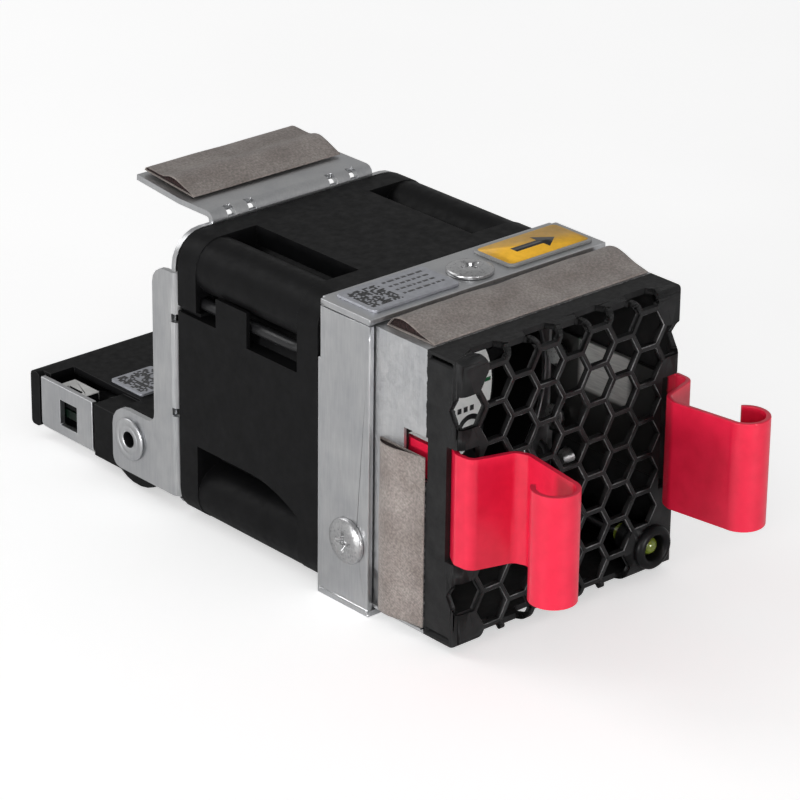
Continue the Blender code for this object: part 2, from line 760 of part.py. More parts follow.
def fan_frame():
    front = FAN_FRONT + FRONT_FLANGE
    rear = FAN_REAR - REAR_FLANGE
    axis = (0.0, AXIS_Z)
    frame = prism(fan_outline(), 'Y', FAN_FRONT, front)
    join(frame, prism(fan_outline(), 'Y', rear, FAN_REAR))
    join(frame, cylinder(axis, DUCT_OUTER / 2, 'Y', front - 1, rear + 1, BORE_STEPS))
    for centre in corner_places():
        join(frame, cylinder(centre, COLUMN_RADIUS, 'Y', front - 1, rear + 1))
    wall = FAN_BORE / 2 - 3
    for low, high in ((AXIS_Z - FAN_HALF, AXIS_Z - wall), (AXIS_Z + wall, AXIS_Z + FAN_HALF)):
        join(frame, block((-SADDLE_HALF_WIDTH, front - 1, low), (SADDLE_HALF_WIDTH, rear + 1, high)))
    join(frame, block((wall, front - 1, AXIS_Z - SIDE_SADDLE_HALF_HEIGHT),
                      (FAN_HALF, rear + 1, AXIS_Z + SIDE_SADDLE_HALF_HEIGHT)))
    join(frame, prism(side_saddle_outline(), 'X', -FAN_HALF, -wall))
    tab_rear = FAN_REAR - TAB_FROM_REAR
    tab_low = AXIS_Z + SIDE_SADDLE_HALF_HEIGHT - 1
    join(frame, block((-FAN_HALF, tab_rear - TAB_LENGTH, tab_low),
                      (-FAN_HALF + TAB_THICKNESS, tab_rear, tab_low + 1 + TAB_HEIGHT)))
    cut(frame, cylinder(axis, FAN_BORE / 2, 'Y', FAN_FRONT - 1, FAN_REAR + 1, BORE_STEPS))
    for centre in corner_places():
        cut(frame, cylinder(centre, FAN_HOLE / 2, 'Y', FAN_FRONT - 1, FAN_REAR + 1, HOLE_STEPS))
    slit_low = AXIS_Z + SIDE_SADDLE_HALF_HEIGHT + WIRE_SLIT_ABOVE_SADDLE
    cut(frame, block((-FAN_HALF - 1, rear - 1, slit_low),
                     (-FAN_HALF + WIRE_SLIT_DEPTH, FAN_REAR + 1, slit_low + WIRE_SLIT)))
    cut(frame, lead_channel(fan_lead_x(), fan_lead_z(), LEAD_RADIUS, rear - 1, FAN_REAR + 1))
    cut(frame, lead_channel(indicator_lead_x(), indicator_lead_z(), INDICATOR_LEAD_RADIUS,
                            FAN_FRONT - 1, FAN_REAR + 1))
    base_front = FAN_FRONT + HUB_BASE_INSET
    hub = cylinder(axis, HUB_BASE_RADIUS, 'Y', base_front, base_front + HUB_BASE_THICKNESS, TURNED_STEPS)
    for index in range(STRUT_COUNT):
        hub = join(hub, strut(index, base_front))
    return join(frame, hub)


def strut(index, front):
    """A flat strut from the hub base to the duct wall."""
    angle = math.radians(90.0 + 360.0 * index / STRUT_COUNT)
    reach = (FAN_BORE + DUCT_OUTER) / 4
    bar = block((HUB_BASE_RADIUS - STRUT_ROOT, front, -STRUT_WIDTH / 2),
                (reach, front + STRUT_DEPTH, STRUT_WIDTH / 2))
    for vert in bar.data.vertices:
        x, z = vert.co.x, vert.co.z
        vert.co.x = x * math.cos(angle) - z * math.sin(angle)
        vert.co.z = AXIS_Z + x * math.sin(angle) + z * math.cos(angle)
    return bar


def lead_channel(x, z, radius, low, high):
    """Square cutter that clears a lead running front to back."""
    half = radius + GAP
    return block((x - half, low, z - half), (x + half, high, z + half))


def fan_lead_x():
    return -FAN_HALF + LEAD_EDGE


def fan_lead_z():
    return AXIS_Z + SIDE_SADDLE_HALF_HEIGHT + LEAD_ABOVE_SADDLE


def indicator_lead_x():
    return FAN_HALF - LEAD_EDGE


def indicator_lead_z():
    return AXIS_Z - SIDE_SADDLE_HALF_HEIGHT - INDICATOR_LEAD_BELOW_SADDLE


# Rotor

def impeller():
    start = FAN_FRONT + IMPELLER_INSET
    end = start + IMPELLER_LENGTH
    axis = (0.0, AXIS_Z)
    inner = HUB_RADIUS - HUB_WALL
    profile = [(HUB_RADIUS, start), (HUB_RADIUS, end - HUB_CHAMFER), (HUB_RADIUS - HUB_CHAMFER, end),
               (0, end), (0, end - HUB_WALL), (inner, end - HUB_WALL), (inner, start)]
    cup = turned(profile, 'Y', axis, TURNED_STEPS)
    cut(cup, cylinder(axis, SHAFT_RADIUS + GAP, 'Y', end - 3, end + 1, HOLE_STEPS))
    for index in range(BLADE_COUNT):
        join(cup, blade(index, start + BLADE_MARGIN, end - BLADE_MARGIN))
    return cup


def blade(index, start, end):
    """One twisted, cambered blade, lofted through sections from the hub to the tip."""
    tip = FAN_BORE / 2 - TIP_CLEARANCE
    root = HUB_RADIUS - BLADE_ROOT_SINK
    rings = []
    bm = bmesh.new()
    for level in range(BLADE_SECTIONS):
        share = level / (BLADE_SECTIONS - 1)
        radius = root + share * (tip - root)
        pitch = math.radians(BLADE_ROOT_PITCH + share * (BLADE_TIP_PITCH - BLADE_ROOT_PITCH))
        length = end - start
        ring = []
        for side in (1, -1):
            steps = range(BLADE_SAMPLES + 1) if side == 1 else range(BLADE_SAMPLES - 1, 0, -1)
            for step in steps:
                t = step / BLADE_SAMPLES
                bow = 4 * BLADE_CAMBER * t * (1 - t)
                half = side * BLADE_THICKNESS / 2 * math.sqrt(max(0.0, 4 * t * (1 - t)))
                around = (t - 0.5) * length * math.tan(math.pi / 2 - pitch) + (bow + half)
                angle = around / radius + math.tau * index / BLADE_COUNT
                ring.append(bm.verts.new((radius * math.sin(angle), start + t * length,
                                          AXIS_Z + radius * math.cos(angle))))
        rings.append(ring)
    count = len(rings[0])
    for lower, upper in zip(rings, rings[1:]):
        for step in range(count):
            beyond = (step + 1) % count
            bm.faces.new((lower[step], lower[beyond], upper[beyond], upper[step]))
    bm.faces.new(rings[0])
    bm.faces.new(rings[-1])
    bmesh.ops.triangulate(bm, faces=bm.faces)
    return solid_from(bm)


def ring(outer, inner, low, high, count=TURNED_STEPS):
    axis = (0.0, AXIS_Z)
    return turned([(outer, low), (outer, high), (inner, high), (inner, low)], 'Y', axis, count)


def motor_start():
    return FAN_FRONT + HUB_BASE_INSET + HUB_BASE_THICKNESS + GAP


def stator_start():
    return motor_start() + BOARD_THICKNESS + GAP + COIL_END + GAP


def motor_end():
    return FAN_FRONT + IMPELLER_INSET + YOKE_LENGTH


def rotor_yoke():
    start = FAN_FRONT + IMPELLER_INSET + GAP
    end = FAN_FRONT + IMPELLER_INSET + IMPELLER_LENGTH - HUB_WALL - GAP
    outer = YOKE_RADIUS
    inner = outer - YOKE_WALL
    bore = SHAFT_RADIUS + GAP
    return turned([(outer, start), (outer, end), (bore, end), (bore, end - YOKE_WALL),
                   (inner, end - YOKE_WALL), (inner, start)], 'Y', (0.0, AXIS_Z), TURNED_STEPS)


def rotor_magnet():
    outer = MAGNET_RADIUS
    start = FAN_FRONT + IMPELLER_INSET + 2 * GAP
    return ring(outer, outer - MAGNET_WALL, start, start + YOKE_LENGTH)


def rotor_shaft():
    start = motor_start()
    end = FAN_FRONT + IMPELLER_INSET + IMPELLER_LENGTH
    return cylinder((0.0, AXIS_Z), SHAFT_RADIUS, 'Y', start, end, HOLE_STEPS)


def bearing(start):
    return ring(BEARING_RADIUS, SHAFT_RADIUS + GAP, start, start + BEARING_LENGTH, HOLE_STEPS)


def bearing_tube():
    return ring(TUBE_RADIUS, TUBE_RADIUS - BEARING_TUBE_WALL, motor_start(), motor_end(), ROUND_STEPS)


def stator():
    """Laminated core: a hub, teeth and pole shoes, wound with one coil on each tooth."""
    start = stator_start()
    end = start + STATOR_LENGTH
    inner = TUBE_RADIUS + GAP
    shoe = SHOE_RADIUS
    core = ring(inner + STATOR_HUB_WALL, inner, start, end, ROUND_STEPS)
    half = 180.0 / STATOR_TEETH - SHOE_GAP_DEGREES
    for index in range(STATOR_TEETH):
        angle = 360.0 * index / STATOR_TEETH
        outline = arc((0.0, AXIS_Z), shoe, angle - half, angle + half, 5)
        outline += arc((0.0, AXIS_Z), shoe - SHOE_THICKNESS, angle + half, angle - half, 5)
        join(core, prism(outline, 'Y', start, end))
        tooth_low = inner + STATOR_HUB_WALL / 2
        join(core, radial_block(angle, tooth_low, shoe - SHOE_THICKNESS / 2, TOOTH_WIDTH, start, end))
    return core


def coil(index):
    """One winding: a ring round its tooth, clear of the core all round."""
    start = stator_start()
    end = start + STATOR_LENGTH
    low = COIL_INNER
    high = COIL_INNER + COIL_LENGTH
    angle = 360.0 * index / STATOR_TEETH
    width = TOOTH_WIDTH + 2 * GAP
    clear = (start - GAP, end + GAP)
    wound = radial_block(angle, low, high, width + 2 * COIL_SIDE, clear[0] - COIL_END, clear[1] + COIL_END)
    return cut(wound, radial_block(angle, low - 1, high + 1, width, *clear))


def radial_block(angle, low, high, width, start, end):
    across = math.cos(math.radians(angle))
    up = math.sin(math.radians(angle))
    corners = [(low, -width / 2), (high, -width / 2), (high, width / 2), (low, width / 2)]
    outline = [(u * across - v * up, AXIS_Z + u * up + v * across) for u, v in corners]
    return prism(outline, 'Y', start, end)


def motor_board():
    start = motor_start()
    return ring(HUB_BASE_RADIUS - STRUT_ROOT - GAP, TUBE_RADIUS + GAP, start, start + BOARD_THICKNESS)


def hub_label():
    start = FAN_FRONT + HUB_BASE_INSET - GAP - LABEL
    radius = HUB_BASE_RADIUS - HUB_LABEL_MARGIN
    return cylinder((0.0, AXIS_Z), radius, 'Y', start, start + LABEL, TURNED_STEPS)


# Screws and rivets

def flat_screw(axis, sign, centre, surface):
    """A flat cross-recess screw whose head stands on a surface, with its shank going in."""
    top = surface + sign * (GAP + SCREW_HEAD_HEIGHT)
    under = surface + sign * GAP
    tip = surface - sign * SCREW_REACH
    head = SCREW_HEAD / 2
    profile = [(0, top), (head - HEAD_ROUND, top), (head, top - sign * HEAD_ROUND), (head, under),
               (SCREW_SHANK / 2, under), (SCREW_SHANK / 2, tip), (0, tip)]
    return cut(turned(profile, axis, centre, SCREW_STEPS), cross_recess(axis, centre, top, sign))


def cross_recess(axis, centre, top, sign):
    ends = sorted((top - sign * RECESS_DEPTH, top + sign))
    half, thin = RECESS_SPAN / 2, RECESS_WIDTH / 2
    u, v = centre
    outline = [(u - thin, v - half), (u + thin, v - half), (u + thin, v - thin), (u + half, v - thin),
               (u + half, v + thin), (u + thin, v + thin), (u + thin, v + half), (u - thin, v + half),
               (u - thin, v + thin), (u - half, v + thin), (u - half, v - thin), (u - thin, v - thin)]
    return prism(outline, axis, *ends)


def fan_screw(centre, surface, sign):
    """A screw into one of the fan's corner holes, with its head on the sheet metal."""
    top = surface + sign * (GAP + FAN_SCREW_HEAD_HEIGHT)
    under = surface + sign * GAP
    tip = surface - sign * FAN_SCREW_LENGTH
    head = FAN_SCREW_HEAD / 2
    shank = FAN_HOLE / 2 - GAP
    profile = [(0, top), (head - HEAD_ROUND, top), (head, top - sign * HEAD_ROUND), (head, under),
               (shank, under), (shank, tip), (0, tip)]
    return cut(turned(profile, 'Y', centre, SCREW_STEPS), cross_recess('Y', centre, top, sign))


def latch_rivet_heights():
    return (LATCH_LOW + LATCH_RIVET_INSET, LATCH_HIGH - LATCH_RIVET_INSET)


def latch_rivet(sign, z):
    """Rivet that clamps a latch leaf to the cover's side wall, flush outside."""
    inner = LATCH_X - LATCH_SHEET / 2 - GAP
    head = inner - LATCH_RIVET_HEAD_HEIGHT
    wide, thin = LATCH_RIVET_HEAD / 2, LATCH_RIVET_SHANK / 2
    profile = [(0, head), (wide, head), (wide, inner), (thin, inner), (thin, COVER_HALF), (0, COVER_HALF)]
    return turned([(r, sign * x) for r, x in profile], 'X', (LATCH_HINGE_Y, z), HOLE_STEPS)


# Latch springs

def latch_path():
    """Plan of the right-hand leaf, from its rivets to the curl, as centre line points."""
    slot_y = COVER_FRONT + HANDLE_SLOT_BACK
    shoulder = (LATCH_X + LATCH_SHOULDER_OUT, COVER_FRONT - LATCH_SHOULDER_FORWARD)
    corners = [(LATCH_X, COVER_REAR - LATCH_REAR_MARGIN), (LATCH_X, slot_y), shoulder,
               (LATCH_X - LATCH_STEP_IN, COVER_FRONT - LATCH_STEP_FORWARD),
               (LATCH_X - LATCH_PANEL_IN, COVER_FRONT - LATCH_PANEL_FORWARD),
               (LATCH_X - LATCH_PANEL_IN - LATCH_LEAN, COVER_FRONT - LATCH_CURL_FORWARD)]
    path = filleted(corners, [0, LATCH_ROOT_BEND, LATCH_BEND, LATCH_BEND, LATCH_BEND, 0], closed=False)
    centre = (corners[-1][0] + LATCH_CURL_RADIUS, corners[-1][1])
    return path[:-1] + arc(centre, LATCH_CURL_RADIUS, 180.0, 180.0 + LATCH_CURL_DEGREES, LATCH_CURL_STEPS)


def latch_spring():
    leaf = prism(bent_strip(latch_path(), LATCH_SHEET), 'Z', LATCH_LOW, LATCH_HIGH)
    for z in latch_rivet_heights():
        hole = LATCH_RIVET_SHANK / 2 + GAP
        cut(leaf, cylinder((LATCH_HINGE_Y, z), hole, 'X', LATCH_X - 2, LATCH_X + 2, HOLE_STEPS))
    return leaf


# Gaskets

def gasket_arch(width, height):
    """Half section of a knife gasket: a flat base and an arch that peaks towards its back."""
    peak = GASKET_PEAK * width
    return [(0.0, 0.0), (0.28 * width, 0.42 * height), (0.5 * width, 0.82 * height), (peak, height),
            (0.86 * width, 0.8 * height), (0.96 * width, 0.3 * height), (width, 0.0)]


def gasket_outlines(start, width, base, height):
    """Outlines of the cloth sleeve and of the hollow in its back part."""
    outer = [(start + u, base + v) for u, v in gasket_arch(width, height)]
    front = start + GASKET_LIP * width
    hollow = gasket_arch(width * (1 - GASKET_LIP) - 3 * GASKET_FABRIC, height - 2 * GASKET_FABRIC)
    inner = [(front + u, base + GASKET_FABRIC + v) for u, v in hollow]
    return outer, inner


def foam_outline(inner):
    """Foam core: the hollow, drawn in by a small gap."""
    middle = sum((Vector(point) for point in inner), Vector((0.0, 0.0))) / len(inner)
    return [tuple(middle + (Vector(point) - middle) * FOAM_FILL) for point in inner]


def gasket(axis, outer, inner, low, high):
    return cut(prism(outer, axis, low, high), prism(inner, axis, low - 1, high + 1))


def top_gasket_outlines():
    return gasket_outlines(COVER_FRONT + GASKET_SETBACK, GASKET_WIDTH, COVER_TOP_Z + GAP, GASKET_HEIGHT)


def side_gasket_outlines(sign):
    start = COVER_FRONT + SIDE_GASKET_SETBACK
    outer, inner = gasket_outlines(start, SIDE_GASKET_WIDTH, 0.0, SIDE_GASKET_HEIGHT)
    wall = COVER_HALF + GAP
    return ([(sign * (wall + v), u) for u, v in outer], [(sign * (wall + v), u) for u, v in inner])


def tongue_gasket_outlines():
    """The tongue gasket lies along the sloping end of the tongue."""
    slope = math.atan2(TONGUE_TIP_RISE, TONGUE_LENGTH - TONGUE_FLAT)
    flat_end = PLATE_FRONT + TONGUE_FLAT
    base = TONGUE_Z + (SHEET / 2 + GAP) / math.cos(slope) + GASKET_ROOT_LIFT
    placed = []
    start = TONGUE_GASKET_START - TONGUE_FLAT
    for outline in gasket_outlines(start, TONGUE_GASKET_WIDTH, 0.0, GASKET_HEIGHT):
        placed.append([(flat_end + u * math.cos(slope) - v * math.sin(slope),
                        base + u * math.sin(slope) + v * math.cos(slope)) for u, v in outline])
    return placed


# Rear bracket

def rear_bracket():
    half = BRACKET_WIDTH / 2
    inner = SHEET / 2
    low = AXIS_Z - FAN_HALF
    high = AXIS_Z + FAN_HALF
    outline = rectangle((-half, low), (half, high), BRACKET_CORNER, steps=6)
    plate = prism(outline, 'Y', PLATE_FRONT, PLATE_REAR)
    for sign in (-1, 1):
        edge = sorted((sign * (half + 1), sign * (half - BEND - SHEET)))
        cut(plate, block((edge[0], PLATE_FRONT - 1, EAR_LOW - EAR_RELIEF),
                         (edge[1], PLATE_REAR + 1, EAR_HIGH + EAR_RELIEF)))
    reach = PLATE_FRONT + FOOT_REACH
    middle = PLATE_FRONT + inner
    across = [(-half + inner, reach), (-half + inner, middle), (half - inner, middle), (half - inner, reach)]
    across = bent_strip(filleted(across, [0, BEND - inner, BEND - inner, 0], closed=False), SHEET)
    ears = prism(across, 'Z', 0.0, PAN_HEIGHT)
    combine(ears, prism(ear_outline(), 'X', -half - 1, half + 1), 'INTERSECT')
    for z in (EAR_LOW + FOOT_HEIGHT + EAR_SLOT_ABOVE_FOOT, EAR_HIGH - EAR_SLOT_BELOW_TOP):
        for sign in (-1, 1):
            edge = sorted((sign * (half + 1), sign * (half - BEND)))
            cut(ears, block((edge[0], PLATE_FRONT - 1, z - EAR_SLOT_HEIGHT / 2),
                            (edge[1], PLATE_REAR + 0.3, z + EAR_SLOT_HEIGHT / 2)))
    join(plate, ears)
    cut(plate, cylinder((0.0, AXIS_Z), FAN_BORE / 2, 'Y', PLATE_FRONT - 1, PLATE_REAR + 1, BORE_STEPS))
    for centre in corner_places():
        cut(plate, cylinder(centre, FAN_HOLE / 2, 'Y', PLATE_FRONT - 1, PLATE_REAR + 1, HOLE_STEPS))
    for sign in (-1, 1):
        ends = sorted((sign * (half + 1), sign * (half - 2 * SHEET)))
        cut(plate, cylinder((PIVOT_Y, PIVOT_Z), RIVET_SHANK / 2 + GAP, 'X', *ends))
    cut(plate, lead_channel(fan_lead_x(), fan_lead_z(), LEAD_RADIUS, PLATE_FRONT - 1, PLATE_REAR + 0.5))
    cut(plate, lead_channel(indicator_lead_x(), indicator_lead_z(), INDICATOR_LEAD_RADIUS,
                            PLATE_FRONT - 1, PLATE_REAR + 0.5))
    join(plate, tongue())
    slots = []
    outer = TONGUE_WIDTH / 2 - TONGUE_SLOT_INSET
    inner = outer - TONGUE_SLOT_PITCH
    for x in (-outer, -inner, inner, outer):
        slots.append(block((x - TONGUE_SLOT / 2, PLATE_FRONT - 1, TONGUE_Z - SHEET),
                           (x + TONGUE_SLOT / 2, PLATE_REAR + 0.6, TONGUE_Z + 2 * SHEET)))
    return cut(plate, *slots)


def ear_outline():
    """Side view of the ear and its foot."""
    start = PLATE_FRONT - 1
    ear = PLATE_FRONT + EAR_REACH
    foot = PLATE_FRONT + FOOT_REACH
    foot_top = EAR_LOW + FOOT_HEIGHT
    points = [(start, EAR_LOW), (foot, EAR_LOW), (foot, foot_top), (ear, foot_top), (ear, EAR_HIGH),
              (start, EAR_HIGH)]
    return filleted(points, [0, FOOT_FILLET, FOOT_CORNER, FOOT_FILLET, EAR_CORNER, 0], steps=4)


def tongue_path():
    middle = PLATE_FRONT + SHEET / 2
    root = AXIS_Z + FAN_BORE / 2 + GAP
    flat_end = PLATE_FRONT + TONGUE_FLAT
    tip = PLATE_FRONT + TONGUE_LENGTH
    return [(middle, root), (middle, TONGUE_Z), (flat_end, TONGUE_Z), (tip, TONGUE_Z + TONGUE_TIP_RISE)]


def tongue():
    path = filleted(tongue_path(), [0, BEND - SHEET / 2, TONGUE_BEND, 0], closed=False)
    return prism(bent_strip(path, SHEET), 'X', -TONGUE_WIDTH / 2, TONGUE_WIDTH / 2)


# Connector carrier

def lug_outer():
    return BRACKET_WIDTH / 2 - SHEET - GAP


def connector_cover():
    """Black moulded cover: a top plate, a rear wall, two pivot lugs and a shelf in the cut-out."""
    half = CARRIER_HALF_WIDTH - SHEET - GAP
    top_low = CARRIER_HIGH - COVER_TOP
    cover = block((-half, COVER_FORWARD, top_low), (half, CARRIER_REAR - COVER_EDGE, CARRIER_HIGH))
    cutout_x = -CARRIER_HALF_WIDTH + CUTOUT_INWARD
    cut(cover, block((-CARRIER_HALF_WIDTH - 1, CUTOUT_FRONT, top_low - 1),
                     (cutout_x, CARRIER_REAR - CUTOUT_REAR_MARGIN, CARRIER_HIGH + 1)))
    notch_in = lug_outer() - LUG_THICKNESS - 2 * GAP - RIVET_HEAD_HEIGHT
    notch_rear = PIVOT_Y + RIVET_HEAD / 2 + GAP
    for sign in (-1, 1):
        across = sorted((sign * notch_in, sign * (half + 1)))
        cut(cover, block((across[0], COVER_FORWARD - 1, top_low - 1),
                         (across[1], notch_rear, CARRIER_HIGH + 1)))
    wall = CARRIER_REAR - COVER_REAR_WALL
    rear = rectangle((wall, CARRIER_LOW), (CARRIER_REAR, CARRIER_HIGH), COVER_EDGE)
    join(cover, prism(rear, 'X', -CARRIER_HALF_WIDTH, CARRIER_HALF_WIDTH))
    for sign in (-1, 1):
        ends = sorted((sign * (lug_outer() - LUG_THICKNESS), sign * lug_outer()))
        join(cover, prism(lug_outline(), 'X', *ends))
    shelf = CARRIER_HIGH - SHELF_DROP
    join(cover, block((-lug_outer() + LUG_THICKNESS / 2, CUTOUT_FRONT - 1, shelf - COVER_TOP),
                      (cutout_x + 1, TRAY_FRONT - GAP, shelf)))
    for sign in (-1, 1):
        ends = sorted((sign * (lug_outer() - LUG_THICKNESS - 1), sign * (lug_outer() + 1)))
        cut(cover, cylinder((PIVOT_Y, PIVOT_Z), RIVET_SHANK / 2 + GAP, 'X', *ends))
    opening = BLIND_CONNECTOR_WIDTH / 2 + GAP
    return cut(cover, block((-opening, wall - 1, mounted_z() - GAP),
                            (opening, CARRIER_REAR + 1, mounted_z() + BLIND_CONNECTOR_HEIGHT + GAP)))


def lug_outline():
    """Side view of a pivot lug: round about the rivet, then straight back to the tray."""
    rear = TRAY_FRONT - GAP
    points = arc((PIVOT_Y, PIVOT_Z), LUG_RADIUS, 180.0, 302.0, 10)
    high = CARRIER_HIGH - SHELF_DROP
    return points + [(rear, CARRIER_LOW), (rear, high), (PIVOT_Y - LUG_RADIUS, high)]


def carrier_tray():
    """Zinc tray below the board, with a square hole in each upturned end."""
    inner = SHEET / 2
    half = CARRIER_HALF_WIDTH - inner
    rear = CARRIER_REAR - TRAY_REAR_MARGIN
    high = CARRIER_HIGH - TRAY_DROP
    across = [(-half, high), (-half, TRAY_LOW + inner), (half, TRAY_LOW + inner), (half, high)]
    across = bent_strip(filleted(across, [0, BEND - inner, BEND - inner, 0], closed=False), SHEET)
    tray = prism(across, 'Y', TRAY_FRONT, rear)
    square_y = rear - TRAY_SQUARE_FROM_REAR
    square_z = (TRAY_LOW + high) / 2
    size = TRAY_SQUARE / 2
    return cut(tray, block((-half - 2, square_y - size, square_z - size),
                           (half + 2, square_y + size, square_z + size)))


def adapter_board():
    half = CARRIER_HALF_WIDTH - SHEET - GAP
    return block((-half, ADAPTER_REAR - ADAPTER_LENGTH, ADAPTER_Z),
                 (half, ADAPTER_REAR, ADAPTER_Z + ADAPTER_THICKNESS))


def mounted_z():
    """Underside of whatever stands on the adapter board."""
    return ADAPTER_Z + ADAPTER_THICKNESS + GAP


def blind_connector():
    """Receptacle that looks out of the rear wall, with a row of contact cavities."""
    half = BLIND_CONNECTOR_WIDTH / 2
    top = mounted_z() + BLIND_CONNECTOR_HEIGHT
    rear = CARRIER_REAR - GAP
    body = block((-half, ADAPTER_REAR - BLIND_CONNECTOR_DEPTH, mounted_z()), (half, rear, top))
    cavities = []
    middle = (mounted_z() + top) / 2
    size = CAVITY_SIZE / 2
    count = int((BLIND_CONNECTOR_WIDTH - CAVITY_PITCH) / CAVITY_PITCH)
    for index in range(count):
        x = (index - (count - 1) / 2) * CAVITY_PITCH
        cavities.append(block((x - size, rear - CAVITY_DEPTH, middle - size),
                              (x + size, rear + 1, middle + size)))
    return cut(body, group(*cavities))


def plug_y():
    return CARRIER_REAR - PLUG_FROM_REAR


def board_header():
    half = PLUG_WIDTH / 2
    return block((PLUG_X - half, plug_y() - HEADER_LENGTH / 2, mounted_z()),
                 (PLUG_X + half, plug_y() + HEADER_LENGTH / 2, mounted_z() + HEADER_HEIGHT))


def plug_low():
    return mounted_z() + HEADER_HEIGHT + GAP


def cable_plug():
    half = PLUG_WIDTH / 2
    front = plug_y() - PLUG_LENGTH / 2
    rear = plug_y() + PLUG_LENGTH / 2
    top = plug_low() + PLUG_HEIGHT
    plug = block((PLUG_X - half, front, plug_low()), (PLUG_X + half, rear, top))
    groove = block((PLUG_X - half - 1, front + PLUG_GROOVE_INSET, top - PLUG_GROOVE_DEPTH),
                   (PLUG_X - half + PLUG_GROOVE_WIDTH, rear - PLUG_GROOVE_INSET, top + 1))
    return cut(plug, groove)


def pivot_rivet(sign):
    """Tubular shoulder rivet through a bracket foot and its carrier lug."""
    outside = BRACKET_WIDTH / 2 + GAP
    inside = lug_outer() - LUG_THICKNESS - GAP
    head, shank, bore = RIVET_HEAD / 2, RIVET_SHANK / 2, RIVET_BORE / 2
    flare = head - RIVET_FLARE_INSET
    profile = [(bore, outside + RIVET_HEAD_HEIGHT), (head - RIVET_CHAMFER, outside + RIVET_HEAD_HEIGHT),
               (head, outside), (shank, outside), (shank, inside), (flare, inside),
               (flare - RIVET_CHAMFER, inside - RIVET_HEAD_HEIGHT), (bore, inside - RIVET_HEAD_HEIGHT)]
    return turned([(r, sign * x) for r, x in profile], 'X', (PIVOT_Y, PIVOT_Z), ROUND_STEPS)


# Leads, each in two lengths that meet on the carrier's pivot axis

def fan_lead_route():
    x, z = fan_lead_x(), fan_lead_z()
    front = FAN_FRONT + FRONT_FLANGE
    down_y = PLATE_REAR + 2.4
    return [(x + 0.3, front + 1.2, z), (x, front + 4.0, z), (x, FAN_REAR - 8.0, z), (x, FAN_REAR, z),
            (x, PLATE_REAR + 0.9, z - 0.2), (x + 0.2, down_y, z - 3.0), (x + 0.6, down_y, z - 9.0),
            (x + 2.4, down_y, PIVOT_Z + 8.0), (x + 3.8, down_y, PIVOT_Z + 2.4),
            (x + 4.2, down_y + 0.5, PIVOT_Z - 0.8), (x + 5.0, PIVOT_Y - 4.6, PIVOT_Z - 2.3),
            (x + 6.8, PIVOT_Y - 1.8, PIVOT_Z - 1.2),
            (-LEAD_GATE_X - 3.6, PIVOT_Y, PIVOT_Z), (-LEAD_GATE_X, PIVOT_Y, PIVOT_Z)]


def plug_lead_route():
    end_x = PLUG_X + PLUG_WIDTH / 2 + GAP
    low = plug_low() - 0.3
    return [(-LEAD_GATE_X + GAP, PIVOT_Y, PIVOT_Z), (-1.4, PIVOT_Y + 0.1, PIVOT_Z), (1.2, PIVOT_Y + 2.6, low),
            (0.0, PIVOT_Y + 6.2, low), (-5.0, PIVOT_Y + 8.8, low), (-10.0, PIVOT_Y + 11.4, low),
            (-13.2, plug_y() - 1.6, low), (end_x, plug_y() - 1.2, plug_low() + 0.4)]


def indicator_lead_route():
    x, z = indicator_lead_x(), indicator_lead_z()
    down_y = PLATE_REAR + 2.4
    start = indicator_rear() + GAP
    return [(INDICATOR_X, start, INDICATOR_Z), (INDICATOR_X + 0.1, start + 3.0, INDICATOR_Z - 0.3),
            (INDICATOR_X + 0.8, PAN_FRONT + 1.8, INDICATOR_Z + 0.2), (x - 1.4, PAN_REAR - 3.6, z - 2.2),
            (x, PAN_REAR - 1.2, z), (x, FAN_FRONT + 8.0, z), (x, FAN_REAR, z), (x, PLATE_REAR + 0.8, z + 0.1),
            (x - 1.6, down_y, z + 1.2), (x - 4.0, down_y, z + 0.2), (x - 4.8, down_y + 0.5, PIVOT_Z - 0.8),
            (x - 5.8, PIVOT_Y - 4.6, PIVOT_Z - 2.3), (x - 7.4, PIVOT_Y - 1.8, PIVOT_Z - 1.2),
            (LEAD_GATE_X + 3.2, PIVOT_Y, PIVOT_Z), (LEAD_GATE_X + 0.6, PIVOT_Y, PIVOT_Z)]


def indicator_plug_lead_route():
    end_x = PLUG_X + PLUG_WIDTH / 2 + GAP
    low = plug_low() - 0.4
    return [(LEAD_GATE_X + 0.6 - GAP, PIVOT_Y, PIVOT_Z), (3.6, PIVOT_Y + 0.8, PIVOT_Z - 0.2),
            (3.2, PIVOT_Y + 4.0, low), (2.0, PIVOT_Y + 7.6, low), (-3.0, PIVOT_Y + 10.8, low),
            (-9.0, PIVOT_Y + 13.0, low), (-13.0, plug_y() - 0.1, low),
            (end_x, plug_y() + 1.2, plug_low() + 0.4)]


# Indicator

def indicator_rear():
    return COVER_FRONT + BEZEL_LENGTH + LAMP_TAIL


def indicator_bezel():
    face = COVER_FRONT - GAP
    proud = face - BEZEL_PROUD
    barrel = BEZEL_RADIUS - 3 * GAP
    end = COVER_FRONT + BEZEL_LENGTH
    profile = [(BEZEL_BORE, proud), (BEZEL_RADIUS - BEZEL_CHAMFER, proud),
               (BEZEL_RADIUS, proud + BEZEL_CHAMFER), (BEZEL_RADIUS, face),
               (barrel, face), (barrel, end), (BEZEL_BORE, end)]
    return turned(profile, 'Y', (INDICATOR_X, INDICATOR_Z), ROUND_STEPS)


def indicator_lamp():
    tip = COVER_FRONT - GAP - BEZEL_PROUD / 2
    profile = [(0.0, tip), (0.5 * LENS_RADIUS, tip + 0.12), (0.85 * LENS_RADIUS, tip + 0.5),
               (LENS_RADIUS, tip + 1.1), (LENS_RADIUS, indicator_rear()), (0.0, indicator_rear())]
    return turned(profile, 'Y', (INDICATOR_X, INDICATOR_Z), SCREW_STEPS)


# Labels

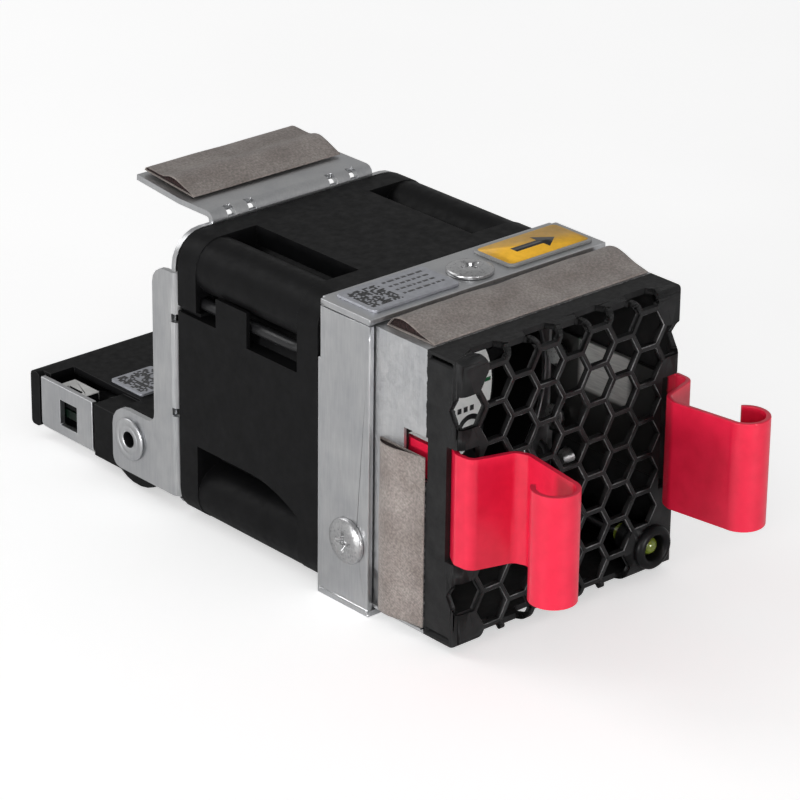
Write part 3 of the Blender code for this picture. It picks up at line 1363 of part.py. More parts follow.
def top_label(place, size, corner, surface):
    x, y = place
    length, width = size
    outline = rectangle((x - length / 2, y - width / 2), (x + length / 2, y + width / 2), corner)
    return prism(outline, 'Z', surface + GAP, surface + GAP + LABEL)


# The assembly

def build_chassis():
    node("front_cover", front_cover(), BLACK_COAT)
    node("fan_mount_pan", fan_mount_pan(), ZINC)
    node("rear_bracket", rear_bracket(), ZINC)
    for name, place in zip(("top", "left", "right"), screw_places()):
        node(name + "_cover_screw", flat_screw(*place), STEEL)
    for corner, centre in zip(("left_low", "left_high", "right_low", "right_high"), corner_places()):
        node("front_fan_screw_" + corner, fan_screw(centre, PAN_REAR - SHEET, -1), STEEL)
        node("rear_fan_screw_" + corner, fan_screw(centre, PLATE_REAR, 1), STEEL)
    for side, sign in (("left", -1), ("right", 1)):
        node(side + "_pivot_rivet", pivot_rivet(sign), STEEL)
        for level, z in zip(("low", "high"), latch_rivet_heights()):
            node(side + "_latch_rivet_" + level, latch_rivet(sign, z), STEEL)
    node("indicator_bezel", indicator_bezel(), BLACK_PLASTIC)
    node("indicator_lamp", indicator_lamp(), LENS)
    inner = SCREW_HEAD / 2 + ORIENTATION_LABEL_FROM_SCREW
    outer = PAN_WIDTH / 2 - LABEL_FROM_EDGE
    size = (outer - inner, ORIENTATION_LABEL_WIDTH)
    label = top_label(((outer + inner) / 2, 0.0), size, ORIENTATION_LABEL_CORNER, PAN_HEIGHT)
    node("orientation_label", label, YELLOW_FILM)
    inner = SCREW_HEAD / 2 + INFO_LABEL_FROM_SCREW
    outer = PAN_WIDTH / 2 - INFO_LABEL_FROM_EDGE
    size = (outer - inner, INFO_LABEL_WIDTH)
    label = top_label((-(outer + inner) / 2, 0.0), size, LABEL_CORNER, PAN_HEIGHT)
    node("info_label", label, SILVER_FILM)
    lead_node("fan_lead", fan_lead_route(), LEAD_RADIUS, BLACK_PLASTIC, None)
    lead_node("indicator_lead", indicator_lead_route(), INDICATOR_LEAD_RADIUS, BLACK_PLASTIC, None)


def build_gaskets():
    outer, inner = top_gasket_outlines()
    half = COVER_HALF - TOP_GASKET_INSET
    node("top_gasket", gasket('X', outer, inner, -half, half), CLOTH)
    node("top_gasket_foam", prism(foam_outline(inner), 'X', -half + GAP, half - GAP), FOAM)
    for side, sign in (("left", -1), ("right", 1)):
        outer, inner = side_gasket_outlines(sign)
        low, high = SIDE_GASKET_LOW, AXIS_Z + SIDE_GASKET_ABOVE_AXIS
        node(side + "_gasket", gasket('Z', outer, inner, low, high), CLOTH)
        node(side + "_gasket_foam", prism(foam_outline(inner), 'Z', low + GAP, high - GAP), FOAM)
    outer, inner = tongue_gasket_outlines()
    half = TONGUE_WIDTH / 2 - TONGUE_GASKET_INSET
    node("tongue_gasket", gasket('X', outer, inner, -half, half), CLOTH)
    node("tongue_gasket_foam", prism(foam_outline(inner), 'X', -half + GAP, half - GAP), FOAM)


def build_fan():
    axis = (0.0, 0.0, AXIS_Z)
    node("fan_frame", fan_frame(), BLACK_PLASTIC)
    node("bearing_tube", bearing_tube(), STEEL, axis)
    node("stator_core", stator(), STEEL, axis)
    for index in range(STATOR_TEETH):
        node("stator_coil_" + str(index + 1), coil(index), COPPER, axis)
    node("motor_board", motor_board(), BOARD_GREEN, axis)
    node("hub_label", hub_label(), PAPER, axis)
    spin = empty("rotor_axis", axis)
    node("impeller", impeller(), BLACK_PLASTIC, axis, spin)
    node("rotor_yoke", rotor_yoke(), STEEL, axis, spin)
    node("rotor_magnet", rotor_magnet(), FOAM, axis, spin)
    node("rotor_shaft", rotor_shaft(), STEEL, axis, spin)
    node("front_bearing", bearing(motor_start() + BOARD_THICKNESS), STEEL, axis)
    node("rear_bearing", bearing(motor_end() - BEARING_LENGTH), STEEL, axis)


def build_latches():
    right = latch_spring()
    left = mirror_of(right)
    for name, solid, sign in (("left_latch_spring", left, -1), ("right_latch_spring", right, 1)):
        place = (sign * LATCH_X, LATCH_HINGE_Y, (LATCH_LOW + LATCH_HIGH) / 2)
        node(name, solid, PINK_COAT, place, empty(name + "_pivot", place))


def build_carrier():
    place = (0.0, PIVOT_Y, PIVOT_Z)
    pivot = empty("carrier_pivot", place)
    node("connector_cover", connector_cover(), BLACK_PLASTIC, place, pivot)
    node("carrier_tray", carrier_tray(), ZINC, place, pivot)
    node("adapter_board", adapter_board(), BOARD_GREEN, place, pivot)
    node("blind_connector", blind_connector(), BLACK_PLASTIC, place, pivot)
    node("board_header", board_header(), NYLON, place, pivot)
    node("cable_plug", cable_plug(), NYLON, place, pivot)
    size = (CARRIER_LABEL_LENGTH, CARRIER_LABEL_WIDTH)
    centre = (CARRIER_LABEL_INSET - CARRIER_HALF_WIDTH, CARRIER_REAR - CARRIER_LABEL_FROM_REAR)
    label = top_label(centre, size, LABEL_CORNER, CARRIER_HIGH)
    node("carrier_label", label, SILVER_FILM, place, pivot)
    lead_node("plug_lead", plug_lead_route(), LEAD_RADIUS, BLACK_PLASTIC, pivot)
    lead_node("indicator_plug_lead", indicator_plug_lead_route(), INDICATOR_LEAD_RADIUS, BLACK_PLASTIC, pivot)


def main():
    for old in list(bpy.data.objects):
        bpy.data.objects.remove(old)
    build_chassis()
    build_gaskets()
    build_fan()
    build_latches()
    build_carrier()


main()
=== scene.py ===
# Looks of a switch fan tray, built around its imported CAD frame.
#
# Lengths are in millimetres until a mesh is finished; the frame is in metres.
# X runs to the right, Y from the honeycomb front to the connector, Z up.

import json
import math
import random

import bmesh
import bpy
from mathutils import Matrix, Vector

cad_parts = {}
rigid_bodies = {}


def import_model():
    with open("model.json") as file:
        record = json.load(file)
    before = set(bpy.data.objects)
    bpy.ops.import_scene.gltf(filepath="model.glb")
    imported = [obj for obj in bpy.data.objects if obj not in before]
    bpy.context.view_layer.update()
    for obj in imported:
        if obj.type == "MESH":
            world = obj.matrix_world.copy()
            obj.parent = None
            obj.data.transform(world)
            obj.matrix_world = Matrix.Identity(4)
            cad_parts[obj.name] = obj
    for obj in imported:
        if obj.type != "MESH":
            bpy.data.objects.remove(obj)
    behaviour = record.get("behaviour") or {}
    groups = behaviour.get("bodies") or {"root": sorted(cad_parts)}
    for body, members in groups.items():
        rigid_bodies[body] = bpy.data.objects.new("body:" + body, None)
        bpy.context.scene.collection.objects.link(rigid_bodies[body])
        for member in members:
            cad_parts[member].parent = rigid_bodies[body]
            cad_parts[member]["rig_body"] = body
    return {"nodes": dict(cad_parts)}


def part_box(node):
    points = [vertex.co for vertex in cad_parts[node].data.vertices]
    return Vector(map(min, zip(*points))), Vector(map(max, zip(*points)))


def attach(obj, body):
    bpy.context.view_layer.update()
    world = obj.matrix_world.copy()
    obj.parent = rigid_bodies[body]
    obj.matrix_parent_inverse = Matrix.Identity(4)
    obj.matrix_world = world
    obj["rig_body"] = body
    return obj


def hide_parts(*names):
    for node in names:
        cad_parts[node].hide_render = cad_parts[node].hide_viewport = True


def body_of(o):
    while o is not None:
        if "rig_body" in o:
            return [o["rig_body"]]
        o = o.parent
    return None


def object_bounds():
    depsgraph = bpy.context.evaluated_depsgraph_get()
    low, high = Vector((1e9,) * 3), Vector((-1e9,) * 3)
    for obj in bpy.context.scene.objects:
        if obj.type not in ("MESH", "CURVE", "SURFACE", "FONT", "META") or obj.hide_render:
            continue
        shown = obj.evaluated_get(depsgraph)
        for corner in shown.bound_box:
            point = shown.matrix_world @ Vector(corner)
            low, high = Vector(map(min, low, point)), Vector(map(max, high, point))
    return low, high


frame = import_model()
cad_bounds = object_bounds()

MM = 0.001
PER_MM = 1000.0
random.seed(7)

# The photograph's camera
VIEW_AZIMUTH = -41.83
VIEW_ELEVATION = 24.04
VIEW_ROLL = 0.68
VIEW_DISTANCE = 486.4
VIEW_SLIDE = (-21.15, 28.13)
VIEW_CENTRE = (0.0, -20.26, -1.14)
LENS = 171.9
SENSOR = 36.0


def box(node):
    """Lowest and highest corner of a CAD node, in millimetres."""
    low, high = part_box(node)
    return low * PER_MM, high * PER_MM


def middle_of(node):
    low, high = box(node)
    return (low + high) / 2


PAN_LOW, PAN_HIGH = box("fan_mount_pan")
COVER_LOW, COVER_HIGH = box("front_cover")
FAN_LOW, FAN_HIGH = box("fan_frame")
AXIS_Z = (FAN_LOW.z + FAN_HIGH.z) / 2
SHEET = 0.8


# Node trees

def add(tree, kind, settings=None, **inputs):
    """A node with its settings, and with inputs given by name as values or as sockets to link."""
    made = tree.nodes.new(kind)
    for key, value in (settings or {}).items():
        setattr(made, key, value)
    for key, value in inputs.items():
        socket = made.inputs[int(key[1:]) if key[0] == "_" else key.replace("_", " ")]
        if isinstance(value, bpy.types.NodeSocket):
            tree.links.new(value, socket)
        else:
            socket.default_value = value
    return made


def math_node(tree, operation, first, second=0.0, clamp=False):
    settings = {"operation": operation, "use_clamp": clamp}
    return add(tree, "ShaderNodeMath", settings, _0=first, _1=second).outputs[0]


def times(tree, first, second, clamp=False):
    return math_node(tree, "MULTIPLY", first, second, clamp)


def plus(tree, first, second):
    return math_node(tree, "ADD", first, second)


def minus(tree, first, second):
    return math_node(tree, "SUBTRACT", first, second)


def axes(tree):
    """X, Y and Z of the row frame, in millimetres."""
    return add(tree, "ShaderNodeSeparateXYZ", Vector=places(tree)).outputs


def places(tree, stretch=(1.0, 1.0, 1.0)):
    """The row frame's coordinates in millimetres; a stretch below 1 draws a pattern out along an axis."""
    coords = add(tree, "ShaderNodeTexCoord").outputs["Object"]
    scale = [PER_MM * factor for factor in stretch]
    return add(tree, "ShaderNodeMapping", Vector=coords, Scale=scale).outputs[0]


def noise(tree, scale, detail=3.0, stretch=(1.0, 1.0, 1.0)):
    return add(tree, "ShaderNodeTexNoise", Vector=places(tree, stretch), Scale=scale, Detail=detail,
               Roughness=0.55).outputs["Fac"]


def cells(tree, scale):
    return add(tree, "ShaderNodeTexVoronoi", Vector=places(tree), Scale=scale).outputs[0]


def ramp(tree, factor, *stops):
    """Colours, or greys given as single numbers, at places from 0 to 1."""
    made = add(tree, "ShaderNodeValToRGB", Fac=factor)
    elements = made.color_ramp.elements
    while len(elements) < len(stops):
        elements.new(0.5)
    for element, (place, colour) in zip(elements, stops):
        element.position = place
        element.color = (*colour, 1.0) if isinstance(colour, tuple) else (colour, colour, colour, 1.0)
    return made.outputs[0]


def blend(tree, factor, first, second):
    """Mix of two colours."""
    def four(colour):
        return (*colour, 1.0) if isinstance(colour, tuple) else colour
    made = add(tree, "ShaderNodeMix", {"data_type": "RGBA"}, Factor=factor)
    for socket, value in zip([s for s in made.inputs if s.type == "RGBA"], (four(first), four(second))):
        if isinstance(value, bpy.types.NodeSocket):
            tree.links.new(value, socket)
        else:
            socket.default_value = value
    return [s for s in made.outputs if s.type == "RGBA"][0]


def bump(tree, shader, height, depth, strength=1.0):
    """Adds relief of that depth in millimetres on top of any relief the shader already has."""
    made = add(tree, "ShaderNodeBump", Height=height, Distance=depth * MM, Strength=strength)
    normal = shader.inputs["Normal"]
    if normal.is_linked:
        tree.links.new(normal.links[0].from_socket, made.inputs["Normal"])
    tree.links.new(made.outputs[0], normal)


def finish(name, **values):
    """A new material, its tree and its shader, with uniform values set on the shader's own sockets."""
    made = bpy.data.materials.new(name)
    made.use_nodes = True
    tree = made.node_tree
    shader = tree.nodes["Principled BSDF"]
    for key, value in values.items():
        shader.inputs[key.replace("_", " ")].default_value = value
    return made, tree, shader


def put(tree, shader, key, value):
    tree.links.new(value, shader.inputs[key])


# Metals

def zinc_nodes(tree, shader, light=1.0):
    """Zinc plate: soft clouds, faint rolling streaks and tiny pits."""
    def tone(*channels):
        return tuple(channel * light for channel in channels)
    clouds = ramp(tree, noise(tree, 0.22, 4.0), (0.3, tone(0.5, 0.51, 0.53)), (0.7, tone(0.64, 0.645, 0.65)))
    grain = noise(tree, 4.0, 2.0, (1.0, 1.0, 0.08))
    streaks = ramp(tree, grain, (0.35, tone(0.53, 0.535, 0.55)), (0.65, tone(0.68, 0.68, 0.68)))
    put(tree, shader, "Roughness", ramp(tree, grain, (0.3, 0.32), (0.7, 0.42)))
    bump(tree, shader, grain, 0.005, 0.5)
    bump(tree, shader, noise(tree, 14.0, 2.0), 0.002, 0.5)
    return blend(tree, 0.35, clouds, streaks)


def zinc(name, light=1.0):
    made, tree, shader = finish(name, Metallic=1.0)
    put(tree, shader, "Base Color", zinc_nodes(tree, shader, light))
    return made


def screw_steel(name, light=1.0):
    made, tree, shader = finish(name, Metallic=1.0)
    grain = noise(tree, 3.0, 4.0)
    tone = ramp(tree, grain, (0.3, (0.46 * light, 0.46 * light, 0.47 * light)),
                (0.7, (0.66 * light, 0.66 * light, 0.66 * light)))
    put(tree, shader, "Base Color", tone)
    put(tree, shader, "Roughness", ramp(tree, grain, (0.3, 0.26), (0.7, 0.38)))
    bump(tree, shader, noise(tree, 6.0, 2.0), 0.0015, 0.5)
    return made


def copper(name):
    """Enamelled wire, wound across each tooth."""
    made, tree, shader = finish(name, Metallic=1.0, Coat_Weight=0.4)
    turns = add(tree, "ShaderNodeTexWave", Vector=places(tree), Scale=0.9, Distortion=0.6).outputs["Fac"]
    put(tree, shader, "Base Color", ramp(tree, turns, (0.0, (0.35, 0.09, 0.03)), (0.6, (0.8, 0.34, 0.14))))
    put(tree, shader, "Roughness", ramp(tree, noise(tree, 3.0), (0.3, 0.22), (0.7, 0.4)))
    bump(tree, shader, turns, 0.09)
    return made


# Coats and plastics

def black_coat_nodes(tree, shader):
    """Satin black powder coat with fine orange peel and pale specks."""
    specks = ramp(tree, cells(tree, 3.2), (0.0, 1.0), (0.09, 0.0))
    patchy = ramp(tree, noise(tree, 0.8, 3.0), (0.45, 0.0), (0.6, 1.0))
    amount = times(tree, specks, patchy)
    dark = ramp(tree, noise(tree, 0.5, 4.0), (0.3, (0.014, 0.014, 0.0145)), (0.7, (0.023, 0.023, 0.0235)))
    colour = blend(tree, amount, dark, (0.09, 0.09, 0.095))
    shader.inputs["Specular IOR Level"].default_value = 0.14
    put(tree, shader, "Roughness", ramp(tree, noise(tree, 1.6, 3.0), (0.3, 0.42), (0.7, 0.58)))
    bump(tree, shader, noise(tree, 5.0, 2.0), 0.02, 0.6)
    return colour


COAT_END = -14.3


def part_coated(name, highlit_and_worn=False):
    """Black coat on the face, the front of the flanges and all inside, bare zinc behind a ragged line."""
    made, tree, shader = finish(name)
    metal = zinc_nodes(tree, shader)
    coat = black_coat_nodes(tree, shader)
    # The edge copy is lighter grey in patches: a painted highlight on rims and rounded edges, with some wear.
    if highlit_and_worn:
        highlight_and_wear = ramp(tree, noise(tree, 2.6, 4.0), (0.3, 0.4), (0.7, 1.0))
        coat = blend(tree, highlight_and_wear, coat, (0.26, 0.26, 0.265))
    x, y, z = axes(tree)
    ragged = times(tree, noise(tree, 1.4, 4.0), 0.5)
    past_edge = times(tree, minus(tree, plus(tree, y, ragged), COAT_END + 0.25), 12.0, clamp=True)
    on_side = math_node(tree, "GREATER_THAN", math_node(tree, "ABSOLUTE", x), COVER_HIGH.x - SHEET / 2)
    rise = math_node(tree, "ABSOLUTE", minus(tree, z, AXIS_Z))
    on_top = math_node(tree, "GREATER_THAN", rise, (COVER_HIGH.z - COVER_LOW.z - SHEET) / 2)
    bare = times(tree, past_edge, math_node(tree, "MAXIMUM", on_side, on_top))
    put(tree, shader, "Base Color", blend(tree, bare, coat, metal))
    put(tree, shader, "Metallic", bare)
    return made


def moulded(name, colour=(0.006, 0.006, 0.0064), rough=(0.42, 0.56), specular=0.1, grain=0.012):
    """Moulded plastic with a fine spark-eroded grain and slow changes of sheen."""
    made, tree, shader = finish(name, Specular_IOR_Level=specular)
    dark = tuple(channel * 0.75 for channel in colour)
    light = tuple(channel * 1.25 for channel in colour)
    put(tree, shader, "Base Color", ramp(tree, noise(tree, 0.35, 4.0), (0.3, dark), (0.7, light)))
    put(tree, shader, "Roughness", ramp(tree, noise(tree, 0.9, 3.0), (0.3, rough[0]), (0.7, rough[1])))
    bump(tree, shader, noise(tree, 7.0, 2.0), grain, 0.5)
    return made


LATCH_COAT_END = -9.4
RIGHT_COAT_SHORTER = 9.7
# Painted light on the leaf's bare steel: a lit patch between these depths and above this height, painted
# shade elsewhere.
PAINTED_LIGHT_SPAN = ((-3.3, 1.0), (-13.4, -1.0))
PAINTED_LIGHT_BOTTOM = 20.7


def latch_finish(name):
    """The handle end is dipped in the pink coat; behind it the leaf's bare steel is painted dark as shade,
    with a painted light patch where side light through the window falls.
    """
    made, tree, shader = finish(name, Coat_Roughness=0.12)
    coat = ramp(tree, noise(tree, 0.4, 3.0), (0.3, (0.74, 0.009, 0.045)), (0.7, (0.84, 0.014, 0.058)))
    grain = noise(tree, 4.0, 2.0, (1.0, 0.1, 1.0))
    steel = ramp(tree, grain, (0.3, (0.5, 0.5, 0.49)), (0.7, (0.68, 0.68, 0.66)))
    x, y, z = axes(tree)
    ragged = times(tree, noise(tree, 0.8, 3.0), 0.5)
    shorter = times(tree, math_node(tree, "GREATER_THAN", x, 0.0), RIGHT_COAT_SHORTER)
    reach = plus(tree, plus(tree, y, ragged), shorter)
    bare = times(tree, minus(tree, reach, LATCH_COAT_END + 0.25), 5.0, clamp=True)
    # Painted light: the bare steel is painted dark as shade, except a painted lit patch high on the leaf.
    painted_light_patch = times(tree, minus(tree, z, PAINTED_LIGHT_BOTTOM), 1.5, clamp=True)
    for limit, sign in PAINTED_LIGHT_SPAN:
        painted_light_patch = times(tree, painted_light_patch, times(tree, minus(tree, limit, y), sign, clamp=True))
    steel = blend(tree, painted_light_patch, (0.035, 0.035, 0.034), steel)
    put(tree, shader, "Base Color", blend(tree, bare, coat, steel))
    put(tree, shader, "Metallic", times(tree, bare, 0.6))
    put(tree, shader, "Coat Weight", times(tree, minus(tree, 1.0, bare), 0.2))
    put(tree, shader, "Roughness", ramp(tree, noise(tree, 1.2, 2.0), (0.3, 0.28), (0.7, 0.38)))
    bump(tree, shader, noise(tree, 1.5, 2.0), 0.02, 0.35)
    return made


def cloth(name, along):
    """Woven conductive cloth: two thread directions, worn threads and slow stains."""
    made, tree, shader = finish(name, Metallic=0.25, Sheen_Weight=0.2, Sheen_Roughness=0.5)
    split = axes(tree)
    wobble = times(tree, noise(tree, 1.1, 2.0), 2.4)
    threads = []
    for axis, pitch in (("Y", 0.26), (along, 0.22)):
        turn = times(tree, split[axis], math.tau / pitch)
        threads.append(math_node(tree, "SINE", plus(tree, turn, wobble)))
    weave = times(tree, threads[0], threads[1])
    weave = plus(tree, times(tree, weave, 0.5), 0.5)
    stains = noise(tree, 0.25, 5.0)
    base = ramp(tree, stains, (0.3, (0.25, 0.21, 0.19)), (0.7, (0.38, 0.335, 0.31)))
    thread = ramp(tree, weave, (0.1, 0.72), (0.8, 1.1))
    fuzz = ramp(tree, noise(tree, 3.2, 4.0), (0.35, 0.7), (0.7, 1.25))
    shade = times(tree, thread, fuzz)
    colour = add(tree, "ShaderNodeVectorMath", {"operation": "SCALE"}, Vector=base, Scale=shade).outputs[0]
    put(tree, shader, "Base Color", colour)
    put(tree, shader, "Roughness", ramp(tree, weave, (0.0, 0.7), (1.0, 0.48)))
    bump(tree, shader, weave, 0.05, 0.8)
    bump(tree, shader, noise(tree, 0.9, 3.0), 0.06, 0.4)
    return made


def foam(name):
    made, tree, shader = finish(name)
    pores = cells(tree, 3.0)
    colour = ramp(tree, pores, (0.1, (0.004, 0.002, 0.002)), (0.7, (0.03, 0.012, 0.011)))
    put(tree, shader, "Base Color", colour)
    put(tree, shader, "Roughness", ramp(tree, noise(tree, 2.0), (0.3, 0.85), (0.7, 1.0)))
    bump(tree, shader, pores, 0.15)
    return made


def film(name, colour, rough=0.4, metallic=0.0, mottled=0.08):
    """Printed label film: nearly even colour, faint mottling and a slow ripple."""
    made, tree, shader = finish(name, Metallic=metallic, Coat_Weight=0.15)
    dark = tuple(channel * (1 - mottled) for channel in colour)
    light = tuple(min(1.0, channel * (1 + mottled)) for channel in colour)
    put(tree, shader, "Base Color", ramp(tree, noise(tree, 1.3, 5.0), (0.3, dark), (0.7, light)))
    sheen = ramp(tree, noise(tree, 0.8, 2.0), (0.3, rough - 0.06), (0.7, rough + 0.06))
    put(tree, shader, "Roughness", sheen)
    bump(tree, shader, noise(tree, 0.5, 2.0), 0.03, 0.25)
    return made


def board(name):
    """Green solder mask over faint copper tracks."""
    made, tree, shader = finish(name, Coat_Weight=0.1, Coat_Roughness=0.2, Specular_IOR_Level=0.2)
    tracks = add(tree, "ShaderNodeTexBrick", {"offset": 0.35}, Vector=places(tree), Scale=0.35,
                 Mortar_Size=0.03).outputs["Fac"]
    put(tree, shader, "Base Color", blend(tree, tracks, (0.0015, 0.006, 0.003), (0.003, 0.014, 0.007)))
    put(tree, shader, "Roughness", ramp(tree, noise(tree, 1.0), (0.3, 0.32), (0.7, 0.45)))
    bump(tree, shader, tracks, 0.03)
    return made


def lens(name):
    made, tree, shader = finish(name, Coat_Weight=0.8, Coat_Roughness=0.04, Subsurface_Weight=0.2)
    shader.inputs["Subsurface Radius"].default_value = (0.001, 0.001, 0.0004)
    colour = ramp(tree, noise(tree, 0.9), (0.3, (0.09, 0.12, 0.012)), (0.7, (0.2, 0.25, 0.035)))
    put(tree, shader, "Base Color", colour)
    put(tree, shader, "Roughness", ramp(tree, noise(tree, 2.0), (0.3, 0.1), (0.7, 0.2)))
    return made


ZINC = zinc("zinc_upright")
# The edge copy of zinc is lighter: a painted highlight on rounded edges.
ZINC_EDGE_HIGHLIGHT = zinc("zinc_edge_highlight", light=1.25)
COAT = part_coated("black_coat")
# The edge coat is lighter: a painted highlight on the cover's rims and rounded edges, with some wear.
COAT_EDGE_HIGHLIGHT = part_coated("black_coat_edge_highlight", highlit_and_worn=True)
BLACK = moulded("black_plastic")
BLACK_EDGE = moulded("black_plastic_edge", (0.012, 0.012, 0.0125), (0.34, 0.46), 0.3)
ROTOR_BLACK = moulded("rotor_plastic", (0.006, 0.006, 0.0065), (0.3, 0.42), 0.16, 0.006)
JACKET = moulded("cable_jacket", (0.012, 0.012, 0.013), (0.3, 0.45), 0.5, 0.02)
NYLON = moulded("white_nylon", (0.68, 0.68, 0.665), (0.35, 0.5), 0.5, 0.01)
LATCH_FINISH = latch_finish("pink_coat")
STEEL = screw_steel("screw_steel")
DARK_STEEL = screw_steel("dark_steel", 0.3)
COPPER = copper("copper_wire")
MAGNET = moulded("bonded_magnet", (0.045, 0.043, 0.042), (0.55, 0.7), 0.4, 0.03)
CLOTH_X = cloth("cloth_along_x", "X")
CLOTH_Z = cloth("cloth_along_z", "Z")
FOAM = foam("foam_core")
YELLOW = film("yellow_film", (0.80, 0.43, 0.024), 0.42)
SILVER = film("silver_film", (0.42, 0.43, 0.47), 0.42, 0.3, 0.12)
WHITE_FILM = film("white_film", (0.88, 0.89, 0.88), 0.38, mottled=0.04)
GREEN_INK = film("green_ink", (0.02, 0.2, 0.07), 0.4)
INK = film("black_ink", (0.012, 0.012, 0.014), 0.38)
BOARD = board("circuit_board")
LENS_GLOSS = lens("indicator_lens")
GREY_INK = film("grey_ink", (0.07, 0.07, 0.075), 0.42)
CLEAR_RIM = film("clear_rim", (0.36, 0.36, 0.355), 0.35)


# Outlines

def arc(centre, radius, start, end, steps):
    """Points on an arc, in degrees, both ends included."""
    points = []
    for step in range(steps + 1):
        angle = math.radians(start + (end - start) * step / steps)
        points.append((centre[0] + radius * math.cos(angle), centre[1] + radius * math.sin(angle)))
    return points


def circle(centre, radius, steps):
    return arc(centre, radius, 0.0, 360.0, steps)[:-1]


def filleted(points, radii, closed=True, steps=8):
    """Round the corners of a path; a radius of 0 keeps the corner sharp."""
    rounded = []
    count = len(points)
    for index, point in enumerate(points):
        radius = radii[index]
        at_end = not closed and index in (0, count - 1)
        if at_end or radius <= 0.0:
            rounded.append(point)
            continue
        corner = Vector(point)
        before = (Vector(points[index - 1]) - corner).normalized()
        after = (Vector(points[(index + 1) % count]) - corner).normalized()
        half = before.angle(after) / 2
        middle = corner + (before + after).normalized() * (radius / math.sin(half))
        reach = radius / math.tan(half)
        first = corner + before * reach - middle
        last = corner + after * reach - middle
        start = math.degrees(math.atan2(first.y, first.x))
        turn = math.degrees(math.atan2(first.x * last.y - first.y * last.x, first.dot(last)))
        rounded += arc(middle, radius, start, start + turn, steps)
    return rounded


def rectangle(low, high, radius=0.0):
    points = [(low[0], low[1]), (high[0], low[1]), (high[0], high[1]), (low[0], high[1])]
    return filleted(points, [radius] * 4, steps=6)


def smooth(points, steps):
    """Points on a smooth curve through an open path, of two or three dimensions."""
    vectors = [Vector(point) for point in points]
    vectors = [2 * vectors[0] - vectors[1]] + vectors + [2 * vectors[-1] - vectors[-2]]
    path = [tuple(vectors[1])]
    for index in range(1, len(vectors) - 2):
        p0, p1, p2, p3 = vectors[index - 1:index + 3]
        for step in range(1, steps + 1):
            t = step / steps
            place = 0.5 * (2 * p1 + (p2 - p0) * t + (2 * p0 - 5 * p1 + 4 * p2 - p3) * t * t
                           + (3 * p1 - p0 - 3 * p2 + p3) * t * t * t)
            path.append(tuple(place))
    return path


def even(points, count):
    """That many points at even distances along an open path."""
    lengths = [0.0]
    for first, second in zip(points, points[1:]):
        lengths.append(lengths[-1] + (Vector(second) - Vector(first)).length)
    spaced = []
    segment = 0
    for step in range(count):
        target = lengths[-1] * step / (count - 1)
        while segment < len(points) - 2 and lengths[segment + 1] < target:
            segment += 1
        share = (target - lengths[segment]) / max(1e-9, lengths[segment + 1] - lengths[segment])
        spaced.append(tuple(Vector(points[segment]).lerp(Vector(points[segment + 1]), share)))
    return spaced


def strip_outline(path, thickness):
    """Closed outline of a sheet of even thickness that follows an open path."""
    sides = ([], [])
    for index, point in enumerate(path):
        here = Vector(point)
        before = (here - Vector(path[index - 1])).normalized() if index else None
        after = (Vector(path[index + 1]) - here).normalized() if index + 1 < len(path) else None
        along = (before + after).normalized() if before and after else (before or after)
        normal = Vector((-along.y, along.x)) * (thickness / 2)
        sides[0].append(tuple(here + normal))
        sides[1].append(tuple(here - normal))
    return sides[0] + sides[1][::-1]


# Meshes, in millimetres until they are placed

AXES = {"X": Vector((1.0, 0.0, 0.0)), "Y": Vector((0.0, 1.0, 0.0)), "Z": Vector((0.0, 0.0, 1.0))}


def in_space(axis, u, v, along):
    """Outline coordinates to space: (y, z) on X, (x, z) on Y and (x, y) on Z."""
    if axis == "X":
        return (along, u, v)
    if axis == "Y":
        return (u, along, v)
    return (u, v, along)


def prism(bm, outline, axis, low, high):
    """Adds a closed prism to a mesh."""
    rings = [[bm.verts.new(in_space(axis, u, v, along)) for u, v in outline] for along in (low, high)]
    count = len(outline)
    for step in range(count):
        beyond = (step + 1) % count
        bm.faces.new((rings[0][step], rings[0][beyond], rings[1][beyond], rings[1][step]))
    bm.faces.new(rings[0])
    bm.faces.new(rings[1])


def revolve(bm, profile, origin, along, closed=False, steps=64):
    """Turns a profile of (radius, distance) round an axis through a point."""
    along = Vector(along)
    u = along.orthogonal().normalized()
    v = along.cross(u)
    rings = []
    for radius, distance in profile:
        centre = Vector(origin) + along * distance
        if radius < 1e-6:
            rings.append([bm.verts.new(centre)])
            continue
        turn = [math.tau * step / steps for step in range(steps)]
        rings.append([bm.verts.new(centre + (u * math.cos(a) + v * math.sin(a)) * radius) for a in turn])
    pairs = list(zip(rings, rings[1:])) + ([(rings[-1], rings[0])] if closed else [])
    for first, second in pairs:
        for step in range(steps):
            beyond = (step + 1) % steps
            corners = [first[step % len(first)], first[beyond % len(first)],
                       second[beyond % len(second)], second[step % len(second)]]
            bm.faces.new(list(dict.fromkeys(corners)))


def loft(bm, rings, closed_ends=True):
    """Skin over rings of equal length, each a closed loop of points."""
    made = [[bm.verts.new(point) for point in ring] for ring in rings]
    count = len(made[0])
    for first, second in zip(made, made[1:]):
        for step in range(count):
            beyond = (step + 1) % count
            bm.faces.new((first[step], first[beyond], second[beyond], second[step]))
    if closed_ends:
        bm.faces.new(made[0])
        bm.faces.new(made[-1])
    return made


def mesh_object(name, bm, *materials):
    """A mesh object in metres from a mesh in millimetres."""
    bmesh.ops.recalc_face_normals(bm, faces=bm.faces)
    bmesh.ops.scale(bm, vec=(MM, MM, MM), verts=bm.verts)
    for face in bm.faces:
        face.smooth = True
    data = bpy.data.meshes.new(name)
    bm.to_mesh(data)
    bm.free()
    for made in materials:
        data.materials.append(made)
    obj = bpy.data.objects.new(name, data)
    bpy.context.scene.collection.objects.link(obj)
    return obj


